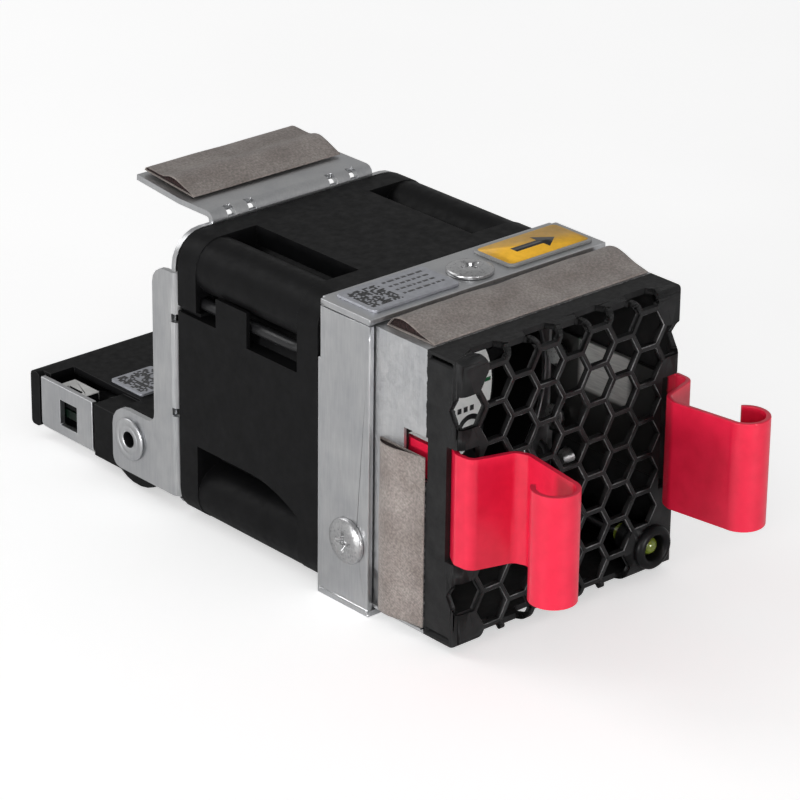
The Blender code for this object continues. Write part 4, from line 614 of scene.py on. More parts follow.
def carve(obj, cutter_mesh, operation="DIFFERENCE", slot=0):
    """Cuts a mesh in millimetres out of an object, or keeps only what it shares with the mesh."""
    cutter = mesh_object("cutter", cutter_mesh, *obj.data.materials)
    for face in cutter.data.polygons:
        face.material_index = slot
    cut = obj.modifiers.new("cut", "BOOLEAN")
    cut.operation = operation
    cut.solver = "EXACT"
    cut.object = cutter
    depsgraph = bpy.context.evaluated_depsgraph_get()
    carved = bpy.data.meshes.new_from_object(obj.evaluated_get(depsgraph))
    obj.modifiers.clear()
    obj.data = carved
    bpy.data.objects.remove(cutter)


def carve_prism(obj, outline, axis, low, high, operation="DIFFERENCE"):
    bm = bmesh.new()
    prism(bm, outline, axis, low, high)
    carve(obj, bm, operation)


def wall_span(sign, outer, inner):
    """Where a cutter runs through the wall on one side, lowest end first."""
    return sorted((sign * outer, sign * inner))


def soften(obj, width, segments=2, angle=30.0):
    """Rounds the sharp edges, painted with the second material where there is one."""
    if width:
        obj.modifiers.new("triangles", "TRIANGULATE")
        bevel = obj.modifiers.new("edges", "BEVEL")
        bevel.width = width * MM
        bevel.segments = segments
        bevel.limit_method = "ANGLE"
        bevel.angle_limit = math.radians(angle)
        bevel.face_strength_mode = "FSTR_ALL"
        if len(obj.data.materials) > 1:
            bevel.material = 1
    normals = obj.modifiers.new("normals", "WEIGHTED_NORMAL")
    normals.keep_sharp = True
    normals.use_face_influence = True


def fit(obj, body, slot, *nodes):
    """Fixes a piece to a body and takes the place of CAD nodes; the slot argument is not used."""
    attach(obj, body)
    if nodes:
        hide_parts(*nodes)
    return obj


def carrier_of(node):
    """The body that a CAD node rides on."""
    return body_of(frame["nodes"][node])[0]


def dressed(node, slot, materials, width=0.12, segments=2):
    """The CAD node's own shape, with its sharp edges rounded."""
    source = frame["nodes"][node]
    bm = bmesh.new()
    bm.from_mesh(source.data)
    bmesh.ops.remove_doubles(bm, verts=bm.verts, dist=1e-6)
    bmesh.ops.scale(bm, vec=(PER_MM, PER_MM, PER_MM), verts=bm.verts)
    obj = mesh_object(node + "_finished", bm, *materials)
    soften(obj, width, segments)
    return fit(obj, carrier_of(node), slot, node)


def paint(node, made):
    """A better material on a CAD node that keeps its own shape."""
    data = frame["nodes"][node].data
    data.materials.clear()
    data.materials.append(made)


# Sheet metal and mouldings

CELL_PITCH = 5.03
CELL_RADIUS = 2.53
CELL_STEP = CELL_PITCH * math.sqrt(3.0) / 2
CELL_COLUMNS = 4
COVER_BEND = 1.2
COVER_HALF_X = COVER_HIGH.x
COVER_HALF_Z = (COVER_HIGH.z - COVER_LOW.z) / 2
CELLS_END = COVER_HALF_Z + 1.9
SLOT_INNER_X = 15.75
SLOT_BACK = 2.3
WINDOW_LOW = (-14.6, 22.05)
WINDOW_HIGH = {-1: (-10.2, 28.1), 1: (-10.2, 27.3)}
LATCH_FOOT = 12.9
LATCH_TOP = 27.8
LATCH_HOLE_RADIUS = 1.2
SIDE_SCREW = (-1.0, 9.5)
TOP_SCREW = (0.0, -1.0)
SCREW_HOLE_RADIUS = 1.6
BEZEL_HOLE_RADIUS = 2.4
INDICATOR = (14.6, 4.9)
SEAM = 0.1
RIM = 0.1
PAN_BORE_RADIUS = 18.8
PAN_HOLE_RADIUS = 1.75
PAN_RELIEF = 0.45


def past_bend(reach, half, offset):
    """How far out, and how far behind the face, a point of the flat blank lies once it is folded."""
    bend = half - COVER_BEND
    neutral = COVER_BEND - SHEET / 2
    past = abs(reach) - bend
    turn = min(max(past, 0.0) / neutral, math.pi / 2)
    radius = COVER_BEND - offset
    out = bend + min(past, 0.0) + radius * math.sin(turn)
    depth = COVER_BEND - radius * math.cos(turn) + max(0.0, past - neutral * math.pi / 2)
    return math.copysign(out, reach), depth


def folded(u, v, offset):
    """Place of a point of the flat blank, measured from the middle of the face, once all is folded."""
    x, behind_side = past_bend(u, COVER_HALF_X, offset)
    rise, behind_top = past_bend(v, COVER_HALF_Z, offset)
    return (x, COVER_LOW.y + max(behind_side, behind_top), AXIS_Z + rise)


def cell_cutter(bm, u, v):
    """Adds the cutter of one six-sided cell that was punched in the flat blank, across a bend or not."""
    half_height = CELL_RADIUS * math.sqrt(3.0) / 2
    across_side = abs(u) + CELL_RADIUS > COVER_HALF_X - COVER_BEND
    across_top = abs(v) + half_height > COVER_HALF_Z - COVER_BEND
    steps = 36 if across_side or across_top else 2
    rings = []
    for step in range(steps + 1):
        share = 2 * (0.002 + 0.996 * step / steps) - 1
        if across_side:
            middle = u + CELL_RADIUS * share
            half = min(half_height, (CELL_RADIUS - abs(middle - u)) * math.sqrt(3.0))
            sides = [(middle, v - half), (middle, v + half)]
        else:
            level = v + half_height * share
            if abs(level) > CELLS_END:
                continue
            half = CELL_RADIUS - abs(level - v) / math.sqrt(3.0)
            sides = [(u - half, level), (u + half, level)]
        rings.append([folded(*sides[0], -0.6), folded(*sides[1], -0.6),
                      folded(*sides[1], SHEET + 0.32), folded(*sides[0], SHEET + 0.32)])
    loft(bm, rings)


def rim_cutter(bm, u, v):
    """Adds the cutter of the chamfer round a cell that lies flat on the face, which takes the lighter edge
    coat: painted highlight with some wear.
    """
    if abs(u) > COVER_HALF_X - 2 * COVER_BEND - 1.0 or abs(v) > COVER_HALF_Z - 2 * COVER_BEND - 1.0:
        return
    rings = []
    for depth, radius in ((-RIM, CELL_RADIUS + 2 * RIM), (1.4 * RIM, CELL_RADIUS - 0.4 * RIM)):
        corners = circle((u, AXIS_Z + v), radius, 6)
        rings.append([(x, COVER_LOW.y + depth, z) for x, z in corners])
    loft(bm, rings)


def cover_cells(bm, cutter):
    """The honeycomb, solid at the corners, round the indicator and where the handles pass."""
    for column in range(-CELL_COLUMNS, CELL_COLUMNS + 1):
        shift = 0.5 if column % 2 == 0 else 0.0
        for row in range(-4, 5):
            u, v = column * CELL_STEP, (row + shift) * CELL_PITCH
            at_indicator = math.dist((u, AXIS_Z + v), INDICATOR) < 2 * CELL_RADIUS
            at_handle = abs(column) == CELL_COLUMNS and row + shift not in (2.5, -2.5)
            if row + shift <= 4 and not at_indicator and not at_handle:
                cutter(bm, u, v)


def cover_openings(bm):
    """Handle slots, gasket windows, rivet and screw holes and the indicator's hole."""
    front = COVER_LOW.y
    for sign in (-1, 1):
        across = wall_span(sign, COVER_HALF_X + 0.5, SLOT_INNER_X)
        slot = rectangle((across[0], front - 0.5), (across[1], front + SLOT_BACK))
        prism(bm, slot, "Z", LATCH_FOOT - 0.35, LATCH_TOP + 0.35)
        wall = wall_span(sign, COVER_HALF_X + 0.5, COVER_HALF_X - SHEET - 0.3)
        prism(bm, rectangle(WINDOW_LOW, WINDOW_HIGH[sign]), "X", *wall)
        prism(bm, circle(SIDE_SCREW, SCREW_HOLE_RADIUS, 28), "X", *wall)
        for level in ("low", "high"):
            middle = middle_of(f"left_latch_rivet_{level}")
            prism(bm, circle((middle.y, middle.z), LATCH_HOLE_RADIUS, 28), "X", *wall)
    prism(bm, circle(TOP_SCREW, SCREW_HOLE_RADIUS, 28), "Z", COVER_HIGH.z - 1.2, COVER_HIGH.z + 0.5)
    prism(bm, circle(INDICATOR, BEZEL_HOLE_RADIUS, 36), "Y", front - 0.5, front + 1.2)


def cover_seams(bm):
    """Where the top and bottom flanges meet the sides: closed behind, with a small relief at the bend."""
    front, back = COVER_LOW.y + 1.35, -14.4
    half = 0.42
    for sign in (-1, 1):
        wall = wall_span(sign, COVER_HALF_X + 0.5, COVER_HALF_X - SHEET - 0.2)
        for level in (COVER_HIGH.z - SHEET, COVER_LOW.z + SHEET):
            relief = rectangle((front, level - half), (back, level + half))
            prism(bm, filleted(relief, [0.4, 0.05, 0.05, 0.4], steps=6), "X", *wall)
            seam = rectangle((back + 0.01, level - SEAM / 2), (COVER_HIGH.y + 0.5, level + SEAM / 2))
            prism(bm, seam, "X", *wall)


def folded_box(name, low, high, front_closed, bend, *materials):
    """Five-sided box folded from sheet: an outer form with rounded bends round its face, hollowed."""
    bm = bmesh.new()
    profile = [(low.y, low.z), (high.y, low.z), (high.y, high.z), (low.y, high.z)]
    bends = [bend, 0, 0, bend] if front_closed else [0, bend, bend, 0]
    prism(bm, filleted(profile, bends), "X", low.x, high.x)
    obj = mesh_object(name, bm, *materials)
    front, back = (low.y, high.y + 1.0) if front_closed else (low.y - 1.0, high.y)
    plan = [(low.x, front), (high.x, front), (high.x, back), (low.x, back)]
    bends = [bend, bend, 0, 0] if front_closed else [0, 0, bend, bend]
    carve_prism(obj, filleted(plan, bends), "Z", low.z - 1.0, high.z + 1.0, "INTERSECT")
    inside = rectangle((low.x + SHEET, low.z + SHEET), (high.x - SHEET, high.z - SHEET))
    hollow = (low.y + SHEET, back) if front_closed else (front, high.y - SHEET)
    carve_prism(obj, inside, "Y", *hollow)
    return obj


def front_cover():
    """Folded honeycomb cover: punched, chamfered round the cells in the lighter edge coat, a painted
    highlight with some wear, then seamed at the corners.
    """
    obj = folded_box("front_cover_finished", COVER_LOW, COVER_HIGH, True, COVER_BEND, COAT, COAT_EDGE_HIGHLIGHT)
    for cutter, slot in ((cell_cutter, 0), (rim_cutter, 1)):
        bm = bmesh.new()
        cover_cells(bm, cutter)
        carve(obj, bm, slot=slot)
    bm = bmesh.new()
    cover_openings(bm)
    carve(obj, bm)
    soften(obj, 0.12, 1, 34.0)
    bm = bmesh.new()
    cover_seams(bm)
    carve(obj, bm)
    soften(obj, 0.0)
    fit(obj, "chassis", "black_coat", "front_cover")


def fan_mount_pan():
    """Folded pan that the cover slides into, with the fan's bore and the seams of its corners."""
    low, high = PAN_LOW, PAN_HIGH
    obj = folded_box("fan_mount_pan_finished", low, high, False, 0.0, ZINC, ZINC_EDGE_HIGHLIGHT)
    rear = (high.y - 2 * SHEET, high.y + 1.0)
    bm = bmesh.new()
    prism(bm, circle((0.0, AXIS_Z), PAN_BORE_RADIUS, 96), "Y", *rear)
    for side in ("left", "right"):
        for level in ("low", "high"):
            middle = middle_of(f"front_fan_screw_{side}_{level}")
            prism(bm, circle((middle.x, middle.z), PAN_HOLE_RADIUS, 24), "Y", *rear)
    for sign in (-1, 1):
        prism(bm, circle(SIDE_SCREW, SCREW_HOLE_RADIUS, 28), "X",
              *wall_span(sign, high.x + 0.5, high.x - SHEET - 0.3))
    prism(bm, circle(TOP_SCREW, SCREW_HOLE_RADIUS, 28), "Z", high.z - 1.2, high.z + 0.5)
    carve(obj, bm)
    for sign in (-1, 1):
        relief = rectangle((high.y - PAN_RELIEF, high.z - 8.0), (high.y + 0.7, high.z + 1.3))
        carve_prism(obj, relief, "X", *wall_span(sign, high.x + 0.5, high.x - 0.9 * SHEET))
    soften(obj, 0.2, 2, 32.0)
    bm = bmesh.new()
    for sign in (-1, 1):
        for level in (high.z - SHEET - 0.1, low.z + SHEET + 0.1):
            prism(bm, rectangle((low.y - 0.5, level - SEAM), (high.y - 0.2, level + SEAM)), "X",
                  *wall_span(sign, high.x + 0.5, high.x - SHEET - 0.1))
    carve(obj, bm)
    soften(obj, 0.0)
    fit(obj, "chassis", "zinc", "fan_mount_pan")


front_cover()
fan_mount_pan()
dressed("rear_bracket", "zinc", (ZINC, ZINC_EDGE_HIGHLIGHT), 0.12)
dressed("carrier_tray", "zinc", (ZINC, ZINC_EDGE_HIGHLIGHT), 0.1)
dressed("fan_frame", "black_plastic", (BLACK, BLACK_EDGE), 0.16)
dressed("connector_cover", "black_plastic", (BLACK, BLACK_EDGE), 0.2, 3)
dressed("adapter_board", "board_green", (BOARD,), 0.08)
dressed("board_header", "nylon", (BLACK, BLACK_EDGE), 0.15)
plug = dressed("cable_plug", "nylon", (BLACK, NYLON), 0.15)
for face in plug.data.polygons:
    face.material_index = int(face.normal.z > 0.7)
dressed("blind_connector", "black_plastic", (BLACK, BLACK_EDGE), 0.08)


# Fasteners

RECESS_SPAN = 3.0
RECESS_WIDTH = 0.62
RECESS_DEPTH = 0.7
LOW_HEAD_DROP = 0.3


def recess_outline(u, v, scale):
    """A cross with rounded ends, drawn in towards its centre by a scale."""
    half = RECESS_SPAN / 2 * scale
    thin = RECESS_WIDTH / 2 * (0.6 + 0.4 * scale)
    corner = thin * 1.9
    outline = []
    for quarter in range(4):
        angle = math.pi / 2 * quarter
        arm = [(corner, -thin), (half - thin * 0.6, -thin), (half, -thin * 0.4), (half, thin * 0.4),
               (half - thin * 0.6, thin), (corner, thin)]
        for x, y in arm:
            outline.append((u + x * math.cos(angle) - y * math.sin(angle),
                            v + x * math.sin(angle) + y * math.cos(angle)))
    return outline


def screw(node, axis, sign, head_height, crowned):
    """A cross-recess screw with the place and size of its CAD node."""
    low, high = box(node)
    middle = (low + high) / 2
    index = "XYZ".index(axis)
    top = high[index] if sign > 0 else low[index]
    tip = low[index] if sign > 0 else high[index]
    across = (index + 1) % 3
    head = (high[across] - low[across]) / 2
    shank = head * (0.56 if crowned else 0.42)
    rounding = min(head_height * 0.8, 1.0)
    if crowned:
        profile = [(0.0, 0.0), (head * 0.55, rounding * 0.08)]
        profile += [(head - rounding + rounding * math.sin(a), rounding * (1.0 - math.cos(a)))
                    for a in (math.pi / 2 * step / 6 for step in range(1, 7))]
    else:
        top -= sign * LOW_HEAD_DROP
        profile = [(0.0, 0.0), (head * 0.6, 0.03), (head * 0.78, 0.09), (head * 0.84, 0.2),
                   (head * 0.9, 0.27), (head * 0.97, 0.36), (head, 0.5)]
    depth = abs(top - tip)
    profile += [(head, head_height), (shank, head_height)]
    turns = 8
    for turn in range(turns * 2):
        radius = shank - (0.22 if turn % 2 else 0.0)
        profile.append((radius, head_height + (depth - head_height - 0.6) * (turn + 1) / (turns * 2)))
    profile += [(shank * 0.6, depth), (0.0, depth)]
    origin = middle.copy()
    origin[index] = top
    bm = bmesh.new()
    revolve(bm, profile, origin, AXES[axis] * -sign, steps=48)
    # The front fan screws are blackened; on the other heads the dark steel on the rounded rim is painted
    # shade, the dark ring of the gap round the head.
    materials = (DARK_STEEL,) if node.startswith("front_fan") else (STEEL, DARK_STEEL)
    obj = mesh_object(node + "_finished", bm, *materials)
    cutter = bmesh.new()
    places_uv = [middle[i] for i in range(3) if i != index]
    rings = []
    for depth_share, scale in ((-0.5, 1.0), (0.0, 1.0), (1.0, 0.55)):
        along = top - sign * RECESS_DEPTH * depth_share
        rings.append([in_space(axis, u, v, along) for u, v in recess_outline(*places_uv, scale)])
    loft(cutter, rings)
    carve(obj, cutter)
    soften(obj, 0.05, 2, 35.0)
    return fit(obj, carrier_of(node), "steel", node)


screw("top_cover_screw", "Z", 1, 0.86, False)
screw("left_cover_screw", "X", -1, 0.86, False)
screw("right_cover_screw", "X", 1, 0.86, False)
for side in ("left", "right"):
    for level in ("low", "high"):
        screw(f"front_fan_screw_{side}_{level}", "Y", -1, 1.3, True)
        screw(f"rear_fan_screw_{side}_{level}", "Y", 1, 1.3, True)
        dressed(f"{side}_latch_rivet_{level}", "steel", (STEEL,), 0.12)


RIVET_BORE = 1.0


def pivot_rivet(side, sign):
    """Tubular rivet that the carrier turns on: a ringed head round a bore whose wall is painted black as
    shade.
    """
    node = side + "_pivot_rivet"
    low, high = box(node)
    middle = (low + high) / 2
    radius = (high.z - low.z) / 2
    depth = high.x - low.x
    face = high.x if sign > 0 else low.x
    profile = [(RIVET_BORE, depth), (RIVET_BORE, 0.5), (1.15, 0.3), (1.5, 0.24), (1.9, 0.22), (1.96, 0.27),
               (2.06, 0.27), (2.12, 0.22), (radius - 0.15, 0.22), (radius, 0.33), (radius, 0.4),
               (1.8, 0.4), (1.8, depth - 0.9), (2.3, depth - 0.75), (2.3, depth - 0.3), (2.0, depth)]
    bm = bmesh.new()
    revolve(bm, profile, (face, middle.y, middle.z), AXES["X"] * -sign, closed=True)
    obj = mesh_object(node + "_finished", bm, ZINC, BLACK)
    # The bore's wall gets black plastic: painted shade in the hole.
    for face in obj.data.polygons:
        off_axis = math.hypot(face.center.y * PER_MM - middle.y, face.center.z * PER_MM - middle.z)
        face.material_index = int(off_axis < 1.1)
    soften(obj, 0.0)
    fit(obj, carrier_of(node), "steel", node)


pivot_rivet("left", -1)
pivot_rivet("right", 1)


# Latch springs

LATCH_SHEET = 0.66
LATCH_LEAF_X = 17.66
LATCH_BENDS = ((1.3, 0.4, 0.9), (1.2, -1.9, 1.3), (-4.6, -3.6, 1.6), (-5.3, -5.4, 1.2))
LATCH_CURL_START = (-4.0, -14.1)
LATCH_CURL_RADIUS = 2.75
LATCH_CURL_DEGREES = 238.0
LEFT_LEAF_TOP = 26.4


def latch_outline(sign):
    """Plan of a leaf from its rivets to the curl that a finger pulls."""
    front = COVER_LOW.y
    corners = [(LATCH_LEAF_X, COVER_HIGH.y - 0.3), (LATCH_LEAF_X, front + 2.6)]
    corners += [(LATCH_LEAF_X + across, front + along) for across, along, _ in LATCH_BENDS]
    corners += [(LATCH_LEAF_X + LATCH_CURL_START[0], front + LATCH_CURL_START[1])]
    radii = [0, 1.0] + [radius for _, _, radius in LATCH_BENDS] + [0]
    path = filleted(corners, radii, closed=False, steps=7)
    centre = (corners[-1][0] + LATCH_CURL_RADIUS, corners[-1][1])
    path = path[:-1] + arc(centre, LATCH_CURL_RADIUS, 180.0, 180.0 + LATCH_CURL_DEGREES, 44)
    return [(sign * x, y) for x, y in strip_outline(path, LATCH_SHEET)]


def latch_spring(side, sign):
    node = side + "_latch_spring"
    bm = bmesh.new()
    prism(bm, latch_outline(sign), "Z", LATCH_FOOT, LATCH_TOP)
    obj = mesh_object(node + "_finished", bm, LATCH_FINISH)
    for level in ("low", "high"):
        middle = middle_of(f"{side}_latch_rivet_{level}")
        hole = circle((middle.y, middle.z), LATCH_HOLE_RADIUS, 32)
        carve_prism(obj, hole, "X", middle.x - 4.0, middle.x + 4.0)
    if side == "left":
        above_leaf = rectangle((-19.0, -16.4), (-16.0, COVER_HIGH.y + 1.0))
        carve_prism(obj, above_leaf, "Z", LEFT_LEAF_TOP, LATCH_TOP + 1.0)
    soften(obj, 0.14, 3, 40.0)
    fit(obj, side + "_latch", "pink_coat", node)


latch_spring("left", -1)
latch_spring("right", 1)


# Shielding gaskets

GASKET_FABRIC = 0.08
FOAM_RECESS = 0.3
STEEP_BACK = ((0.28, 0.42), (0.5, 0.82), (0.68, 1.0), (0.86, 0.8), (0.96, 0.3))
FLAT_BACK = ((0.18, 0.55), (0.34, 0.9), (0.44, 1.0), (0.54, 0.82), (0.64, 0.52), (0.95, 0.42))


def sleeve_section(width, height, count, arch):
    """Closed loop of the sleeve: its arch from front to back, then back along its flat base."""
    points = [(0.0, 0.12)] + [(u * width, v * height) for u, v in arch] + [(width, 0.06)]
    arch = even(smooth(points, 6), count)
    return arch + [(width * (1 - step / (count - 1)), 0.0) for step in range(count)]


def wander(seed, along, pitch):
    """Smooth wave between -1 and 1 that doesn't repeat over a gasket's length."""
    return (math.sin(along / pitch + seed) + math.sin(along / (pitch * 0.43) + seed * 2.3)) / 2


def gasket(name, place, width, height, span, waviness, seed, cloth_finish, arch=STEEP_BACK):
    """A cloth sleeve lofted along its length, open at both ends, over a core of foam."""
    count = 26
    sections = 90
    inner_width = width - 0.1 - 2 * GASKET_FABRIC
    inner_height = height - 2 * GASKET_FABRIC
    outer_rings, inner_rings, core_rings = [], [], []
    for step in range(sections + 1):
        along = span[0] + (span[1] - span[0]) * step / sections
        sag = 1.0 - waviness * (0.5 + 0.5 * wander(seed, along, 3.1))
        swing = 0.09 * wander(seed + 4.0, along, 5.3)
        outer = [(u + swing * v / height * 2, v * sag)
                 for u, v in sleeve_section(width - 0.1, height, count, arch)]
        inner = [(GASKET_FABRIC + u + swing * v / height, GASKET_FABRIC * 0.7 + v * sag)
                 for u, v in sleeve_section(inner_width, inner_height, count, arch)]
        middle = sum((Vector(point) for point in inner), Vector((0.0, 0.0))) / len(inner)
        core = [tuple(middle + (Vector(point) - middle) * 0.985) for point in inner]
        outer_rings.append([place(u, v, along) for u, v in outer])
        inner_rings.append([place(u, v, along) for u, v in inner])
        core_along = min(max(along, span[0] + FOAM_RECESS), span[1] - FOAM_RECESS)
        core_rings.append([place(u, v, core_along + (along - core_along) * 0.01) for u, v in core])
    bm = bmesh.new()
    shells = [loft(bm, rings, closed_ends=False) for rings in (outer_rings, inner_rings)]
    for end in (0, -1):
        outer, inner = shells[0][end], shells[1][end]
        for step in range(len(outer)):
            beyond = (step + 1) % len(outer)
            bm.faces.new((outer[step], outer[beyond], inner[beyond], inner[step]))
    obj = mesh_object(name + "_finished", bm, cloth_finish)
    soften(obj, 0.0)
    fit(obj, "chassis", "cloth", name)
    core = bmesh.new()
    loft(core, core_rings[1:-1])
    fit(mesh_object(name + "_core_finished", core, FOAM), "chassis", "foam", name + "_foam")


TOP_GASKET_FRONT = -14.1
SIDE_GASKET_FRONT = -14.3
TONGUE_SLOPE = math.atan2(0.8, 9.0)
TOP_LOW, TOP_HIGH = box("top_gasket")
SIDE_LOW, SIDE_HIGH = box("right_gasket")
TONGUE_LOW, TONGUE_HIGH = box("tongue_gasket")


def top_gasket_place(u, v, along):
    return (along, TOP_GASKET_FRONT + u, TOP_LOW.z - 0.2 + v)


def side_gasket_place(sign):
    def place(u, v, along):
        return (sign * (SIDE_LOW.x - 0.2 + v), SIDE_GASKET_FRONT + u, along)
    return place


def tongue_place(u, v, along):
    """The tongue gasket lies along the sloping end of the bracket's tongue."""
    return (along, TONGUE_LOW.y + 0.16 + u * math.cos(TONGUE_SLOPE) - v * math.sin(TONGUE_SLOPE),
            TONGUE_LOW.z + 0.01 + u * math.sin(TONGUE_SLOPE) + v * math.cos(TONGUE_SLOPE))


gasket("top_gasket", top_gasket_place, 8.7, TOP_HIGH.z - TOP_LOW.z, (TOP_LOW.x + 0.8, TOP_HIGH.x),
       0.10, 1.0, CLOTH_X)
for side, sign in (("left", -1), ("right", 1)):
    gasket(side + "_gasket", side_gasket_place(sign), 8.5, SIDE_HIGH.x - SIDE_LOW.x + 0.2,
           (SIDE_LOW.z - 0.6, SIDE_HIGH.z - 0.9), 0.08, 3.0 + sign, CLOTH_Z)
gasket("tongue_gasket", tongue_place, 10.5, 1.3, (TONGUE_LOW.x, TONGUE_HIGH.x), 0.1, 6.0, CLOTH_X, FLAT_BACK)


# Leads

FAN_LEAD = [(-17.9, 10.4, 31.5), (-18.2, 13.2, 31.5), (-18.2, 25.2, 31.5), (-18.2, 33.2, 31.5),
            (-18.2, 35.2, 31.3), (-18.0, 36.7, 28.5), (-17.6, 36.7, 22.5), (-15.8, 36.7, 15.9),
            (-14.4, 36.7, 10.3), (-14.0, 37.2, 7.1), (-13.2, 39.1, 5.6), (-11.4, 41.9, 6.7),
            (-8.6, 43.7, 7.9), (-5.0, 43.7, 7.9)]
PLUG_LEAD = [(-4.7, 43.7, 7.9), (-1.4, 43.8, 7.9), (1.2, 46.3, 7.3), (0.0, 49.9, 7.3), (-5.0, 52.5, 7.3),
             (-10.0, 55.1, 7.3), (-13.2, 57.6, 7.3), (-15.3, 58.0, 8.0)]
INDICATOR_LEAD = [(14.6, -14.4, 4.9), (14.7, -11.4, 4.6), (15.4, -3.1, 5.1), (16.8, 1.3, 7.55),
                  (18.2, 3.7, 9.75), (18.2, 13.2, 9.75), (18.2, 33.2, 9.75), (18.2, 35.1, 9.85),
                  (16.6, 36.7, 10.95), (14.2, 36.7, 9.95), (13.4, 37.2, 7.1), (12.4, 39.1, 5.6),
                  (10.8, 41.9, 6.7), (8.2, 43.7, 7.9), (5.6, 43.7, 7.9)]
INDICATOR_PLUG_LEAD = [(5.3, 43.7, 7.9), (3.6, 44.5, 7.7), (3.2, 47.7, 7.2), (2.0, 51.3, 7.2),
                       (-3.0, 54.5, 7.2), (-9.0, 56.7, 7.2), (-13.0, 59.1, 7.2), (-15.3, 60.4, 8.0)]


def lead(node, route, radius, body):
    """A round jacket along a smooth route, held in place from end to end inside the tray."""
    path = smooth(route, 8)
    curve = bpy.data.curves.new(node + "_finished", "CURVE")
    curve.dimensions = "3D"
    curve.bevel_depth = radius * MM
    curve.bevel_resolution = 5
    curve.use_fill_caps = True
    spline = curve.splines.new("POLY")
    spline.points.add(len(path) - 1)
    for spline_point, point in zip(spline.points, path):
        spline_point.co = (*(Vector(point) * MM), 1.0)
    spline.use_smooth = True
    curve.materials.append(JACKET)
    obj = bpy.data.objects.new(node + "_finished", curve)
    bpy.context.scene.collection.objects.link(obj)
    fit(obj, body, "lead_jacket", node)


lead("fan_lead", FAN_LEAD, 0.8, "chassis")
lead("plug_lead", PLUG_LEAD, 0.8, "connector_carrier")
lead("indicator_lead", INDICATOR_LEAD, 0.5, "chassis")
lead("indicator_plug_lead", INDICATOR_PLUG_LEAD, 0.5, "connector_carrier")


# Indicator

def indicator():
    low, high = box("indicator_bezel")
    middle = (low + high) / 2
    radius = (high.x - low.x) / 2
    face = COVER_LOW.y - 0.3 - low.y
    depth = high.y - low.y
    profile = [(1.6, depth), (1.6, 0.75), (1.75, 0.35), (1.95, 0.1), (2.2, 0.0), (2.45, 0.03),
               (radius - 0.25, 0.18), (radius - 0.06, 0.4), (radius, 0.65), (radius, face),
               (radius - 0.9, face), (radius - 0.9, depth)]
    bm = bmesh.new()
    revolve(bm, profile, (middle.x, low.y, middle.z), AXES["Y"], closed=True)
    obj = mesh_object("indicator_bezel_finished", bm, ROTOR_BLACK)
    soften(obj, 0.0)
    fit(obj, "chassis", "black_plastic", "indicator_bezel")
    low, high = box("indicator_lamp")
    lens_radius = (high.x - low.x) / 2
    depth = high.y - low.y
    dome = [(lens_radius * math.sin(a), 1.25 * (1 - math.cos(a)))
            for a in (math.pi / 2 * step / 12 for step in range(13))]
    profile = dome + [(lens_radius, depth - 0.2), (lens_radius - 0.2, depth), (0.0, depth)]
    bm = bmesh.new()
    revolve(bm, profile, (middle.x, low.y, middle.z), AXES["Y"], steps=48)
    obj = mesh_object("indicator_lamp_finished", bm, LENS_GLOSS)
    soften(obj, 0.0)
    fit(obj, "chassis", "lens", "indicator_lamp")


indicator()


# Rotor and motor

BLADE_COUNT = 7


def blade_rings(index, start, end, root, tip):
    """Sections of one twisted, cambered blade, from inside the hub to the rounded tip."""
    levels = 11
    samples = 14
    rings = []
    for level in range(levels):
        share = level / (levels - 1)
        radius = root + share * (tip - root)
        pitch = math.radians(62.0 - 12.0 * share)
        length = end - start
        around = []
        for side in (1, -1):
            steps = range(samples + 1) if side == 1 else range(samples - 1, 0, -1)
            for step in steps:
                t = 0.5 - 0.5 * math.cos(math.pi * step / samples)
                bow = 4 * 1.3 * t * (1 - t)
                half = side * 0.5 * math.sqrt(max(0.0, 4 * t * (1 - t)))
                shift = (t - 0.5) * length * math.tan(math.pi / 2 - pitch) + bow + half
                angle = shift / radius + math.tau * index / BLADE_COUNT
                around.append((radius * math.sin(angle), start + t * length,
                               AXIS_Z + radius * math.cos(angle)))
        rings.append(around)
    return rings


def impeller():
    low, high = box("impeller")
    hub = 11.2
    bm = bmesh.new()
    depth = high.y - low.y
    inner = hub - 1.0
    profile = [(hub, 0.0)] + [(hub - 1.2 + 1.2 * math.cos(a), depth - 1.2 + 1.2 * math.sin(a))
                              for a in (math.pi / 2 * step / 8 for step in range(9))]
    profile += [(4.6, depth), (4.4, depth - 0.15), (3.2, depth - 0.15), (1.3, depth - 0.15),
                (1.3, depth - 1.0), (inner, depth - 1.0), (inner, 0.0)]
    revolve(bm, profile, (0.0, low.y, AXIS_Z), AXES["Y"], closed=True, steps=96)
    for index in range(BLADE_COUNT):
        loft(bm, blade_rings(index, low.y + 0.8, high.y - 0.8, hub - 0.5, 18.4))
    obj = mesh_object("impeller_finished", bm, ROTOR_BLACK)
    soften(obj, 0.0)
    fit(obj, "rotor", "black_plastic", "impeller")


impeller()
for index in range(1, 5):
    dressed(f"stator_coil_{index}", "copper", (COPPER,), 0.25, 3)
paint("stator_core", DARK_STEEL)
paint("rotor_yoke", STEEL)
paint("rotor_magnet", MAGNET)
paint("rotor_shaft", STEEL)
paint("front_bearing", STEEL)
paint("rear_bearing", STEEL)
paint("bearing_tube", BLACK)
paint("motor_board", BOARD)


# Labels

INK_LIFT = 0.015
LABEL_SINK = 0.28
FILM_TOP = 0.06


def label_film(node, slot, materials, corner):
    """A label's film with rounded corners and a soft edge."""
    low, high = box(node)
    bm = bmesh.new()
    prism(bm, rectangle((low.x, low.y), (high.x, high.y), corner), "Z", low.z - LABEL_SINK, low.z + FILM_TOP)
    obj = mesh_object(node + "_finished", bm, *materials)
    soften(obj, 0.05, 2)
    return fit(obj, carrier_of(node), slot, node)


